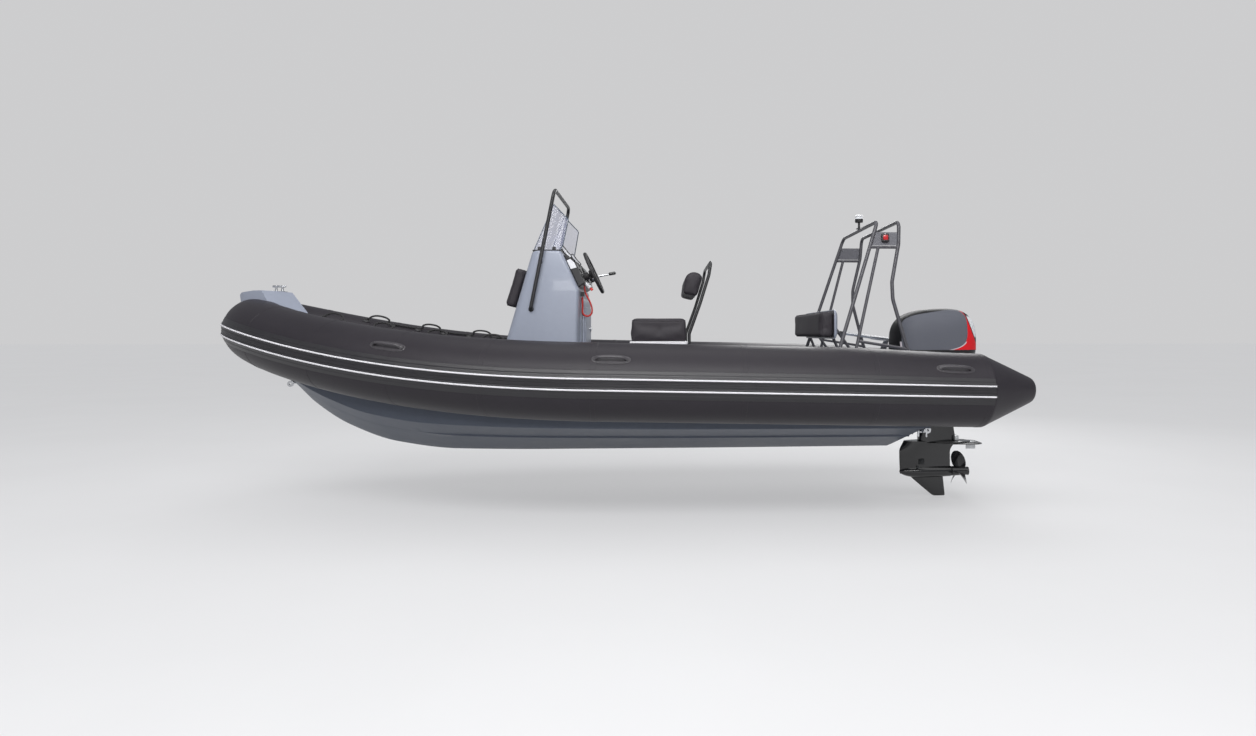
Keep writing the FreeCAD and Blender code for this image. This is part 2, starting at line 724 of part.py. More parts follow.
def make_lanyard_sockets(dash, console):
    """Clip under the dash and stop switch on the console, one at each end of the lanyard."""
    x0, dy, z0 = LANYARD_ROUTE[0]
    x1, dy, z1 = LANYARD_ROUTE[-1]
    clip = Part.makeCylinder(LANYARD_R + 4, 30, V(x0, LANYARD_Y, z0))
    switch = box(x1 - 14, x1 + 20, LANYARD_Y - 15, LANYARD_Y + 15, z1, z1 + 34)
    above = dash.translated(V(0, 0, -SEAT_GAP))
    behind = console.translated(V(-SEAT_GAP, 0, 0))
    clip = min(clip.cut(above).Solids, key=lambda s: s.CenterOfMass.z)
    switch = min(switch.cut(behind).Solids, key=lambda s: s.CenterOfMass.x)
    return Part.makeCompound([clip, switch])


# ---------------------------------------------------------------- lockers and their lids
def open_box(x0, x1, half, z0, z1, wall):
    outer = box(x0, x1, -half, half, z0, z1)
    outer = rounded(outer, 20, lambda p, e: abs(e.tangentAt(e.FirstParameter).z) > 0.99)
    return outer.cut(box(x0 + wall, x1 - wall, -half + wall, half - wall, z0 + wall, z1 + 1))


def lid_board(x0, x1, half, z):
    board = box(x0, x1, -half, half, z + SEAT_GAP, z + SEAT_GAP + LID_THICK)
    return rounded(board, 20, lambda p, e: abs(e.tangentAt(e.FirstParameter).z) > 0.99)


def cushion(x0, x1, half, z0, thick):
    pad = box(x0, x1, -half, half, z0, z0 + thick)
    return rounded(pad, min(25, thick / 3), lambda p, e: p.z > z0 + 1)


def make_helm_frame():
    """Hoop behind the helm seat, on feet beside the locker's aft face."""
    foot_x = HELM_AFT_X - HELM_FRAME_R - SEAT_GAP
    leg = [V(x, HELM_FRAME_HALF, z) for x, z in ((foot_x, 250), (foot_x, 560), (foot_x - 83, 790),
                                                 (foot_x - 151, 1010), (foot_x - 167, 1110))]
    points = leg + [V(p.x, -p.y, p.z) for p in reversed(leg)]
    return bent_tube(points, [70, 120, 80, 45, 45, 80, 120, 70], HELM_FRAME_R)


def make_helm_bolster():
    """Half-round roll carried in front of the hoop."""
    half = HELM_FRAME_HALF - HELM_FRAME_R - 1.5
    outline = Part.Wire([
        Part.LineSegment(V(-742, -half, 1000), V(-695, -half, 850)).toShape(),
        Part.LineSegment(V(-695, -half, 850), V(-598, -half, 872)).toShape(),
        Part.LineSegment(V(-598, -half, 872), V(-612, -half, 975)).toShape(),
        Part.Arc(V(-612, -half, 975), V(-672, -half, 1036), V(-742, -half, 1000)).toShape()])
    return Part.Face(outline).extrude(V(0, 2 * half, 0))


def make_stern_backrest():
    pad = box(-1728, -1622, -535, 535, 522, 737)
    return rounded(pad, 24, lambda p, e: p.x > -1700 or abs(p.y) > 534)


def make_stern_backrest_frame():
    """Shell behind the pad, on four posts and two struts."""
    shell = prism_y([(-1728.3, 530), (-1728.3, 735), (-1742, 730), (-1752, 640), (-1740, 530)], 525)
    top_z = WELL_TOP_Z + SEAT_GAP
    posts = []
    for y in (-430, 430):
        posts.append(bent_tube([V(-1738, y, 545), V(-1770, y, 470), V(-1830, y, top_z - 12)], 40, 11))
        posts.append(bent_tube([V(-1742, y * 0.94, 640), V(-1800, y * 0.94, 560),
                                V(-1990, y * 0.94, top_z - 12)], 60, 11))
    return standing_on(top_z, shell.fuse(posts))


# ---------------------------------------------------------------- stern arch
ARCH_FOOT_Z = WELL_TOP_Z - 15.0     # legs run past the deck and are trimmed to it
ARCH_FRONT = (V(-1700, 620, ARCH_FOOT_Z), V(-2065, 512, ARCH_TOP_Z))
ARCH_REAR = (V(-2332, 600, ARCH_FOOT_Z), V(-2262, 588, 470), V(-2165, 570, 820), V(-2162, 560, 950),
             V(-2222, 530, 1240), V(-2231, 512, ARCH_TOP_Z))
ARCH_BAR_Z = 1215.0


def hoop(leg, bends, radius):
    points = list(leg) + [V(p.x, -p.y, p.z) for p in reversed(leg)]
    return bent_tube(points, bends + [60, 60] + bends[::-1], radius)


def at_height(leg, z):
    for low, high in zip(leg, leg[1:]):
        if low.z <= z <= high.z:
            return low + (high - low) * ((z - low.z) / (high.z - low.z))


def make_arch():
    front = hoop(ARCH_FRONT, [], ARCH_R)
    rear = hoop(ARCH_REAR, [150, 150, 150, 150], ARCH_R)
    bar = [at_height(ARCH_FRONT, ARCH_BAR_Z), at_height(ARCH_REAR, ARCH_BAR_Z)]
    strut_top = bar[0] + (bar[1] - bar[0]) * 0.30
    strut_foot = V(-1842, 604, ARCH_FOOT_Z)
    brace = rod(bar[0], bar[1], ARCH_R - 3).fuse(rod(strut_foot, strut_top, ARCH_R - 2))
    low_share = (505.0 - strut_foot.z) / (strut_top.z - strut_foot.z)
    low_start = strut_foot + (strut_top - strut_foot) * low_share
    brace = brace.fuse(rod(low_start, at_height(ARCH_REAR, 445.0), ARCH_R - 3))
    fat = [hoop(ARCH_FRONT, [], ARCH_R + SEAT_GAP), hoop(ARCH_REAR, [150, 150, 150, 150], ARCH_R + SEAT_GAP)]
    brace = largest(brace.cut(fat))
    plate_low, plate_high = ARCH_BAR_Z + ARCH_R, 1330.0
    a, b = at_height(ARCH_FRONT, plate_low), at_height(ARCH_REAR, plate_low)
    c, d = at_height(ARCH_REAR, plate_high), at_height(ARCH_FRONT, plate_high)
    plate = Part.Face(polygon([a, b, c, on_plane(a, b, c, d.x, d.z)])).extrude(V(0, PLATE_THICK, 0))
    plate = largest(plate.cut(fat + [brace]))
    deck = WELL_TOP_Z + SEAT_GAP
    brace = standing_on(deck, brace)
    return standing_on(deck, front), standing_on(deck, rear), both_sides(brace), both_sides(plate), (a, b, c)


def make_nav_light(side, plate):
    """Side light on the outer face of its plate; plate holds three points of the inner face."""
    a, b, c = plate
    out = unit((b - a).cross(c - a))
    out = out if out.y > 0 else out * -1
    seat = on_plane(a, b, c, -2118, 1285) + V(0, PLATE_THICK, 0) + out * SEAT_GAP
    along = unit(V(1, 0, 0) - out * out.x)
    housing = box(-29, 29, -33, 33, 0, 26)
    housing = rounded(housing, 9, lambda p, e: p.z > 25)
    housing.Placement = axes_placement(seat, along, out.cross(along), out)
    return housing if side > 0 else mirror(housing)


def make_all_round_light():
    x, z = -2065.0, ARCH_TOP_Z + ARCH_R + SEAT_GAP
    stem = Part.makeCylinder(9, 60, V(x, 0, z))
    lens = Part.makeCylinder(32, 46, V(x, 0, z + 60))
    cap = Part.makeCone(34, 20, 12, V(x, 0, z + 106))
    foot = Part.makeCylinder(24, 8, V(x, 0, z))
    return foot.fuse([stem, lens, cap])


# ---------------------------------------------------------------- boarding ladder
def make_ladder():
    hx, hz = LADDER_HINGE
    rails = []
    for side in (-1, 1):
        y = LADDER_Y + side * LADDER_HALF
        rails.append(rod(V(hx, y, hz), V(LADDER_TIP[0], y, LADDER_TIP[1]), LADDER_R))
    rungs = []
    for share in (0.32, 0.61, 0.90):
        x, z = hx + (LADDER_TIP[0] - hx) * share, hz + (LADDER_TIP[1] - hz) * share
        rungs.append(rod(V(x, LADDER_Y - LADDER_HALF, z), V(x, LADDER_Y + LADDER_HALF, z), LADDER_R - 2))
    ends = V(hx, LADDER_Y - LADDER_HALF - 17, hz), V(hx, LADDER_Y + LADDER_HALF + 17, hz)
    ladder = rails[0].fuse([rails[1], rod(*ends, 16)] + rungs)
    return ladder.cut(rod(*ends, LADDER_PIN_R + PIN_CLEARANCE))


def make_ladder_bracket():
    hx, hz = LADDER_HINGE
    lugs = []
    for side in (-1, 1):
        y = LADDER_Y + side * (LADDER_HALF + 27)
        lug = prism_y([(hx - 18, hz - 10), (hx - 14, hz + 16), (hx + 16, hz + 16), (hx + 112, WELL_TOP_Z + 5),
                       (hx + 112, WELL_TOP_Z + SEAT_GAP), (hx + 36, WELL_TOP_Z + SEAT_GAP)], 4, y - 4)
        lugs.append(lug)
    plate = box(hx + 36, hx + 112, LADDER_Y - LADDER_HALF - 38, LADDER_Y + LADDER_HALF + 38,
                WELL_TOP_Z + SEAT_GAP, WELL_TOP_Z + 6)
    pin = rod(V(hx, LADDER_Y - LADDER_HALF - 31, hz), V(hx, LADDER_Y + LADDER_HALF + 31, hz), LADDER_PIN_R)
    return plate.fuse(lugs + [pin])


# ---------------------------------------------------------------- outboard
def make_clamp_bracket():
    """Two cheeks hooked over the transom, with the tilt pin through them."""
    top, low = TRANSOM_TOP_Z + SEAT_GAP, -110.0
    hook = TILT_X + 53
    outline = [(hook, top), (hook, TILT_Z + 24), (TILT_X - 30, TILT_Z + 30), (TILT_X - 78, TILT_Z - 40),
               (TILT_X - 70, low + 50), (TILT_X - 20, low), (transom_x(low) - SEAT_GAP, low),
               (transom_x(top) - SEAT_GAP, top)]
    cheeks = [prism_y(outline, CHEEK_THICK / 2, y) for y in (-CHEEK_IN - CHEEK_THICK, CHEEK_IN)]
    reach = CHEEK_IN + CHEEK_THICK + 6
    pin = rod(V(TILT_X, -reach, TILT_Z), V(TILT_X, reach, TILT_Z), TILT_PIN_R)
    return pin.fuse(cheeks)


def make_swivel():
    """Steering tube on an arm that turns on the tilt pin."""
    tube = rod(V(STEER_X, 0, SWIVEL_LOW_Z), V(STEER_X, 0, SWIVEL_TOP_Z), SWIVEL_R)
    arm = box(STEER_X, TILT_X, -60, 60, TRANSOM_TOP_Z + 6, SWIVEL_TOP_Z)
    half = CHEEK_IN - 4
    ends = V(TILT_X, -half, TILT_Z), V(TILT_X, half, TILT_Z)
    kingpin = V(STEER_X, 0, SWIVEL_LOW_Z - 1), V(STEER_X, 0, SWIVEL_TOP_Z + 1)
    body = tube.fuse([arm, rod(*ends, TILT_PIN_R + 11)])
    return body.cut([rod(*ends, TILT_PIN_R + PIN_CLEARANCE), rod(*kingpin, KINGPIN_R + PIN_CLEARANCE)])


def leg_section(z, front, back, half):
    """Streamlined level section of the leg, front and back ends in x."""
    nose = 0.30 * (front - back)
    wire = Part.Wire([
        Part.Arc(V(front - nose, half, z), V(front, 0, z), V(front - nose, -half, z)).toShape(),
        Part.LineSegment(V(front - nose, -half, z), V(back, -half * 0.18, z)).toShape(),
        Part.LineSegment(V(back, -half * 0.18, z), V(back, half * 0.18, z)).toShape(),
        Part.LineSegment(V(back, half * 0.18, z), V(front - nose, half, z)).toShape()])
    return wire


def leg_loft(rows):
    return Part.makeLoft([leg_section(*row) for row in rows], True, True)


# The outboard is modelled about its steering axis; on_engine carries a piece to its place.
def on_engine(shape):
    shape.translate(V(STEER_X, 0, 0))
    return shape


def make_midsection():
    trunk = leg_loft(((LEG_SPLIT_Z, -60, -380, 62), (-150, -60, -350, 66), (100, -60, -360, 80),
                      (MID_TOP_Z, -60, -380, 95)))
    low, top = SWIVEL_LOW_Z - 6, SWIVEL_TOP_Z + 6
    yokes = [box(-110, SWIVEL_R, -48, 48, z0, z1) for z0, z1 in ((top, MID_TOP_Z), (low - 36, low))]
    kingpin = rod(V(0, 0, low - 10), V(0, 0, top + 10), KINGPIN_R)
    return on_engine(trunk.fuse(yokes + [kingpin]))


HUB_X = -338.0              # back of the gearcase, where the propeller begins


def make_gearcase():
    """Leg, torpedo, skeg and the two plates over the propeller."""
    leg = leg_loft(((LEG_SPLIT_Z - SEAT_GAP, 60, -390, 70), (-420, 98, -330, 52),
                    (PROP_Z - 14, 98, HUB_X + 3, 36)))
    nose = 95.0
    profile = Part.Wire([
        Part.Arc(V(nose, 0, PROP_Z), V(nose - 45, 0, PROP_Z + 34), V(nose - 150, 0, PROP_Z + 52)).toShape(),
        Part.LineSegment(V(nose - 150, 0, PROP_Z + 52), V(HUB_X, 0, PROP_Z + 44)).toShape(),
        Part.LineSegment(V(HUB_X, 0, PROP_Z + 44), V(HUB_X, 0, PROP_Z)).toShape(),
        Part.LineSegment(V(HUB_X, 0, PROP_Z), V(nose, 0, PROP_Z)).toShape()])
    bullet = Part.Face(profile).revolve(V(0, 0, PROP_Z), V(1, 0, 0), 360)
    skeg = prism_y([(17, PROP_Z - 24), (-190, PROP_Z - 205), (-290, PROP_Z - 205), (-275, PROP_Z - 24)], 7)
    plate = mirrored_plan([(-60, 0), (-100, 62), (-260, 100), (-530, 112), (-578, 80)], PLATE_Z, PLATE_Z + 10)
    splash = mirrored_plan([(-140, 0), (-200, 78), (-360, 96), (-480, 70), (-505, 0)],
                           PLATE_Z + 14, LEG_SPLIT_Z - 1)
    return on_engine(leg.fuse([bullet, skeg, plate, splash]))


def mirrored_plan(half_plan, z0, z1):
    """Plate from one half of its plan; points on the centreline are used once."""
    other = [(x, -y) for x, y in reversed(half_plan) if y > 0]
    return prism_z(half_plan + other, z0, z1)


def make_propeller():
    """Hub and three raked blades of falling twist."""
    hub_len = 142.0
    hub = Part.makeCone(40, 34, hub_len, V(0, 0, 0))
    blades = []
    for k in range(3):
        sections = []
        for radius, chord, twist in ((30, 92, 62), (90, 128, 44), (140, 120, 33), (PROP_R, 60, 28)):
            t = math.radians(twist)
            along = V(0, math.cos(t), math.sin(t))
            skin = V(0, -math.sin(t), math.cos(t)) * (4.5 - 3.0 * radius / PROP_R)
            mid = V(radius, 0, hub_len * 0.52)
            tips = [mid - along * chord / 2, mid + skin, mid + along * chord / 2, mid - skin]
            sections.append(Part.Wire(polygon(tips).Edges))
        blade = Part.makeLoft(sections, True, True)
        blade.rotate(V(0, 0, 0), V(0, 0, 1), 120 * k)
        blades.append(blade)
    prop = hub.fuse(blades)
    prop.Placement = axes_placement(V(HUB_X - 5, 0, PROP_Z), V(0, 0, 1), V(0, 1, 0), V(-1, 0, 0))
    return on_engine(prop)


# x, z outline of the engine cover, front bottom round to back bottom
COWL_SIDE = ((128, COWL_SPLIT_Z), (155, 560), (150, 716), (50, 742), (-140, 765), (-290, COWL_TOP_Z),
             (-430, 750), (-485, 700), (-515, 600), (COWL_AFT, 500), (-522, COWL_SPLIT_Z))


def cowl_solid(inset):
    """Cover from three crossed blocks: its side outline, its plan and its shape from behind."""
    cx = (COWL_FORE + COWL_AFT) / 2
    cz = COWL_SPLIT_Z
    sx = 1 - 2 * inset / (COWL_FORE - COWL_AFT)
    sz = 1 - inset / (COWL_TOP_Z - COWL_SPLIT_Z)
    side = prism_y([(cx + (x - cx) * sx, cz + (z - cz) * sz) for x, z in COWL_SIDE], COWL_HALF + 5)
    half = COWL_HALF - inset
    front, back = COWL_FORE - inset, COWL_AFT + inset
    plan = [(front, 0.52 * half), (front - 130, 0.94 * half), (front - 330, half), (back + 170, 0.94 * half),
            (back + 20, 0.62 * half), (back, 0.4 * half)]
    body = side.common(mirrored_plan(plan, cz, COWL_TOP_Z + 5))
    top_z = COWL_TOP_Z - inset
    rear = [(half, cz - 1), (half, cz + 150), (0.86 * half, top_z - 55), (0.6 * half, top_z + 6)]
    rear += [(-y, z) for y, z in reversed(rear)]
    tunnel = Part.Face(polygon([V(COWL_FORE + 5, y, z) for y, z in rear])).extrude(
        V(COWL_AFT - COWL_FORE - 10, 0, 0))
    return body.common(tunnel)


def make_cowl():
    return on_engine(cowl_solid(0).cut(cowl_solid(COWL_WALL)).removeSplitter())


def make_lower_cowl():
    top = COWL_SPLIT_Z - SEAT_GAP
    half = COWL_HALF
    upper = [(128, 0.5 * half), (35, 0.9 * half), (-165, 0.97 * half), (-355, 0.9 * half), (-515, 0.5 * half)]
    lower = [(75, 0.35 * half), (0, 0.6 * half), (-165, 0.68 * half), (-330, 0.6 * half), (-455, 0.35 * half)]
    wires = []
    for z, row in ((PAN_LOW_Z, lower), (top - 60, upper), (top, upper)):
        points = [V(x, y, z) for x, y in row] + [V(x, -y, z) for x, y in reversed(row)]
        wires.append(Part.Wire(polygon(points).Edges))
    pan = Part.makeLoft(wires, True, True)
    neck = box(-340, -60, -70, 70, MID_TOP_Z + SEAT_GAP, PAN_LOW_Z + 1)
    return on_engine(pan.fuse(neck))


def make_powerhead():
    return on_engine(box(-360, 30, -125, 125, COWL_SPLIT_Z + SEAT_GAP, COWL_TOP_Z - POWERHEAD_ROOM))


# ---------------------------------------------------------------- build
save("hull", make_hull())
save("deck", make_deck())
save("transom_well", make_transom_well())
save("bow_locker", make_bow_locker())
save("bow_hatch", make_bow_hatch())
save("bow_platform", make_platform())
save("mooring_bitt", make_bitt())
save("tube_bow", bow_tube())
save("tube_port", side_tube(1))
save("tube_starboard", side_tube(-1))


def make_cones():
    """End cones with a rounded cap, in line with the side tubes."""
    cone = Part.makeCone(TUBE_R, CONE_END_R, CONE_LENGTH - SEAT_GAP, V(0, 0, 0))
    cone = rounded(cone, CONE_CAP, lambda p, e: p.z > 1 and e.Closed)
    centre, along, out, up, radius = station(TUBE_AFT_X, 1)
    cone.Placement = axes_placement(centre - along * SEAT_GAP, up, out, along * -1)
    return both_sides(cone)


def make_strake():
    return band(tube_frames(), SEAT_GAP, STRAKE_THICK, -STRAKE_WIDTH / 2, STRAKE_WIDTH / 2)


def make_stripes():
    inner = STRAKE_THICK + SEAT_GAP
    half = STRIPE_WIDTH / 2
    return Part.makeCompound([band(tube_frames(), inner, inner + STRIPE_THICK, middle - half, middle + half)
                              for middle in (-STRIPE_OFFSET, STRIPE_OFFSET)])


save("tube_cones", make_cones())
save("rubbing_strake", make_strake())
save("strake_stripes", make_stripes())
save("carry_handles", Part.makeCompound([make_handle(x, s) for x in HANDLES for s in (1, -1)]))
save("lifelines", Part.makeCompound([make_lifeline(s) for s in (1, -1)]))
save("bow_eye", make_bow_eye())
save("stern_eyes", make_stern_eyes())
console = make_console()
save("console", console)
save("windscreen", make_windscreen())
save("console_rail", make_console_rail())
dash = make_dash()
save("dash_panel", dash)
save("steering_column", make_column(dash, console))
save("lanyard_sockets", make_lanyard_sockets(dash, console))
save("stop_lanyard", make_lanyard())
save("steering_wheel", make_steering_wheel())
save("throttle", make_throttle())
save("front_backrest", make_front_backrest())
save("front_seat", open_box(FRONT_SEAT_AFT_X, FRONT_SEAT_FORE_X, FRONT_SEAT_HALF, DECK_Z + SEAT_GAP,
                            FRONT_SEAT_TOP_Z, LOCKER_WALL))
save("front_cushion", cushion(FRONT_SEAT_AFT_X, FRONT_SEAT_FORE_X, FRONT_SEAT_HALF,
                              FRONT_SEAT_TOP_Z + SEAT_GAP, SMALL_CUSHION))
save("helm_seat", open_box(HELM_AFT_X, HELM_FORE_X, HELM_HALF, DECK_Z + SEAT_GAP, HELM_TOP_Z, LOCKER_WALL))
save("helm_lid", lid_board(HELM_AFT_X, HELM_FORE_X + 6, HELM_HALF + 6, HELM_TOP_Z))
save("helm_cushion", cushion(HELM_AFT_X, HELM_FORE_X, HELM_HALF, HELM_TOP_Z + LID_THICK + 2 * SEAT_GAP,
                             HELM_CUSHION))
save("helm_backrest_frame", make_helm_frame())
save("helm_bolster", make_helm_bolster())
save("stern_bench", open_box(BENCH_AFT_X, BENCH_FORE_X, BENCH_HALF, DECK_Z + SEAT_GAP, BENCH_TOP_Z,
                             LOCKER_WALL))
save("stern_cushion", cushion(BENCH_AFT_X, BENCH_FORE_X, BENCH_HALF, BENCH_TOP_Z + SEAT_GAP, SMALL_CUSHION))
save("stern_backrest", make_stern_backrest())
save("stern_backrest_frame", make_stern_backrest_frame())
arch_front, arch_rear, arch_braces, light_plates, plate_face = make_arch()
save("arch_front", arch_front)
save("arch_rear", arch_rear)
save("arch_braces", arch_braces)
save("light_plates", light_plates)
save("nav_light_port", make_nav_light(1, plate_face))
save("nav_light_starboard", make_nav_light(-1, plate_face))
save("all_round_light", make_all_round_light())
save("boarding_ladder", make_ladder())
save("ladder_bracket", make_ladder_bracket())
save("clamp_bracket", make_clamp_bracket())
save("swivel_bracket", make_swivel())
save("midsection", make_midsection())
save("gearcase", make_gearcase())
save("propeller", make_propeller())
save("lower_cowl", make_lower_cowl())
save("powerhead", make_powerhead())
save("cowl", make_cowl())
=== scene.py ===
"""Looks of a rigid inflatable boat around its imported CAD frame: +X bow, +Y port, +Z up.

Lengths are in millimetres here, except on the copies of CAD meshes, and put() turns them into metres.
"""

from math import copysign, cos, degrees, pi, radians, sin, sqrt, tan

import bmesh
import bpy
import numpy as np
from mathutils import Matrix, Vector
from mathutils.bvhtree import BVHTree


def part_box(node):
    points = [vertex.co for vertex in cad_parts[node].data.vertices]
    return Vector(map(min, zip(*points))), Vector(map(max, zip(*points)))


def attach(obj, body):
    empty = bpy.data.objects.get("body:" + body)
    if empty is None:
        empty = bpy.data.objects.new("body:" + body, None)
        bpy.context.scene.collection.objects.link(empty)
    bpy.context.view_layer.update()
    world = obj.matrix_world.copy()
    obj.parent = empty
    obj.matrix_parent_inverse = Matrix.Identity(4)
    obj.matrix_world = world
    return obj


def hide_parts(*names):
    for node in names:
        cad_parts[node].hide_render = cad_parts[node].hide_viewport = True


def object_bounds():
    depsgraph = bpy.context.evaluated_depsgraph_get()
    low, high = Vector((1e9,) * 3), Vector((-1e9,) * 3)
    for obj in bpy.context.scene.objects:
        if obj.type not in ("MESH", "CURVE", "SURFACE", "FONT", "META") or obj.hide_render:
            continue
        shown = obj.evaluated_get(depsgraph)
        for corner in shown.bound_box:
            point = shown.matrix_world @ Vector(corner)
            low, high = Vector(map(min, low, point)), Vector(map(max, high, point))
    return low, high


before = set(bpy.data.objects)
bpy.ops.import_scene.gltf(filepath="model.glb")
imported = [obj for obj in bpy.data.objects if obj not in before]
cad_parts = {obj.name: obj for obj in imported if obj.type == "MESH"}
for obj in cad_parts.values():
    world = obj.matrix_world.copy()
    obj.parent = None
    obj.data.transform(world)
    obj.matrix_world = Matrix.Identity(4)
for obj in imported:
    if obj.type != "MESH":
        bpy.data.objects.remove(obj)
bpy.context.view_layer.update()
MM = 0.001
scene = bpy.context.scene


def V(x, y=0.0, z=0.0):
    return Vector((x, y, z))


X, Y, Z = V(1), V(0, 1), V(0, 0, 1)


# ---------------------------------------------------------------- camera, in metres
def add_object(name, data, at=(0, 0, 0), turn=(0, 0, 0)):
    ob = bpy.data.objects.new(name, data)
    ob.location, ob.rotation_euler = at, turn
    scene.collection.objects.link(ob)
    return ob


def make_camera():
    data = bpy.data.cameras.new("camera")
    data.sensor_width, data.lens = 36.0, 20.70
    data.shift_x, data.shift_y = -0.0577, -0.0273
    scene.camera = add_object("camera", data, (-0.43, 5.92, 0.56), (radians(90), 0, radians(180 - 3.06)))


make_camera()


# ---------------------------------------------------------------- materials
class Nodes:
    """Short way to write a node tree."""

    def __init__(self, owner):
        owner.use_nodes = True
        self.tree = owner.node_tree
        self.tree.nodes.clear()

    def add(self, kind, settings=None, **inputs):
        """New node; _3=value fills the fourth input, and Name=value the input with that name."""
        node = self.tree.nodes.new("ShaderNode" + kind)
        for key, value in (settings or {}).items():
            setattr(node, key, value)
        for key, value in inputs.items():
            self.put(node.inputs[int(key[1:]) if key[1:].isdigit() else key.replace("_", " ")], value)
        return node

    def put(self, socket, value):
        if isinstance(value, bpy.types.NodeSocket):
            self.tree.links.new(value, socket)
        else:
            socket.default_value = value

    def math(self, operation, a, b=0.0, c=0.0):
        return self.add("Math", {"operation": operation}, _0=a, _1=b, _2=c).outputs[0]

    def times(self, a, b):
        return self.math("MULTIPLY", a, b)

    def mix(self, factor, a, b):
        return self.add("Mix", {"data_type": "RGBA"}, _0=factor, _6=a, _7=b).outputs[2]

    def step(self, value, low, high):
        """0 below low, 1 above high, smooth between."""
        smooth = {"interpolation_type": "SMOOTHSTEP"}
        return self.add("MapRange", smooth, _0=value, _1=low, _2=high).outputs[0]

    def under(self, value, low, high):
        """1 below low, 0 above high."""
        return self.math("SUBTRACT", 1.0, self.step(value, low, high))

    def power(self, value, exponent):
        return self.math("POWER", value, exponent)

    def spot(self):
        coords = self.add("TexCoord").outputs["Object"]
        return self.add("Mapping", Vector=coords, Scale=(1, 1, 1)).outputs[0]

    def noise(self, vector, scale, detail=4.0):
        return self.add("TexNoise", Vector=vector, Scale=scale, Detail=detail, Roughness=0.55).outputs["Fac"]


def rgba(colour, gain=1.0):
    return tuple(min(1.0, c * gain) for c in colour[:3]) + (1.0,)


def relief(n, spot, kind, scale):
    """Height of one layer of bump."""
    if kind == "noise":
        return n.noise(spot, scale, 3.0)
    if kind == "cells":
        return n.add("TexVoronoi", {"feature": "SMOOTH_F1"}, Vector=spot, Scale=scale).outputs[0]
    if kind == "cracks":
        edge = n.add("TexVoronoi", {"feature": "DISTANCE_TO_EDGE"}, Vector=spot, Scale=scale).outputs[0]
        return n.step(edge, 0.0, 0.12)
    threads = [n.add("TexWave", {"bands_direction": axis}, Vector=spot, Scale=scale).outputs["Fac"]
               for axis in "XYZ"]
    return n.math("MAXIMUM", n.math("MAXIMUM", threads[0], threads[1]), threads[2])


def surface(name, colour, rough, bumps, mottle=0.10, scale=6.0, metal=0.0, coat=0.0, sheen=0.0, vary=0.08,
            dust=0.0, paint=None, specular=0.5):
    """Mottled colour, uneven gloss, settled dust and layers of bump, each as "kind scale depth"."""
    material = bpy.data.materials.new(name)
    n = Nodes(material)
    out = n.add("OutputMaterial")
    shader = n.add("BsdfPrincipled", Metallic=metal, Specular_IOR_Level=specular, Coat_Weight=coat,
                   Coat_Roughness=0.08, Sheen_Weight=sheen, Sheen_Roughness=0.45)
    n.put(out.inputs[0], shader.outputs[0])
    spot = n.spot()
    cloud, fine = n.noise(spot, scale), n.noise(spot, scale * 9.0)
    blend = n.math("MULTIPLY_ADD", fine, 0.4, n.times(cloud, 0.6))
    base = n.mix(n.step(blend, 0.3, 0.7), rgba(colour, 1 - mottle), rgba(colour, 1 + mottle))
    if paint:
        base = paint(n, spot, base)
    if dust:
        up = n.add("SeparateXYZ", Vector=n.add("NewGeometry").outputs["Normal"]).outputs[2]
        settled = n.times(n.step(up, 0.2, 0.95), n.step(fine, 0.35, 0.75))
        base = n.mix(n.times(settled, dust), base, (0.46, 0.45, 0.43, 1.0))
    n.put(shader.inputs["Base Color"], base)
    gloss = n.add("MapRange", _0=blend, _1=0.25, _2=0.75, _3=max(0.02, rough - vary),
        _4=min(1.0, rough + vary))
    n.put(shader.inputs["Roughness"], gloss.outputs[0])
    normal = None
    for kind, size, depth in (layer.split() for layer in bumps.split(", ")):
        height = relief(n, spot, kind, float(size))
        bump = n.add("Bump", Strength=1.0, Distance=float(depth) * MM, Height=height)
        if normal:
            n.put(bump.inputs["Normal"], normal)
        normal = bump.outputs[0]
    n.put(shader.inputs["Normal"], normal)
    return material


def clear_plastic(name, tint, rough=0.04, alpha=0.13):
    material = bpy.data.materials.new(name)
    n = Nodes(material)
    out = n.add("OutputMaterial")
    smear = n.noise(n.spot(), 9.0)
    shader = n.add("BsdfPrincipled", Metallic=0.0)
    n.put(shader.inputs["Base Color"], n.mix(n.step(smear, 0.35, 0.65), rgba(tint, 0.9), rgba(tint, 1.1)))
    n.put(shader.inputs["Roughness"], n.math("MULTIPLY_ADD", smear, 0.10, rough))
    n.put(shader.inputs["Alpha"], n.math("MULTIPLY_ADD", smear, 0.10, alpha))
    n.put(out.inputs[0], shader.outputs[0])
    return material


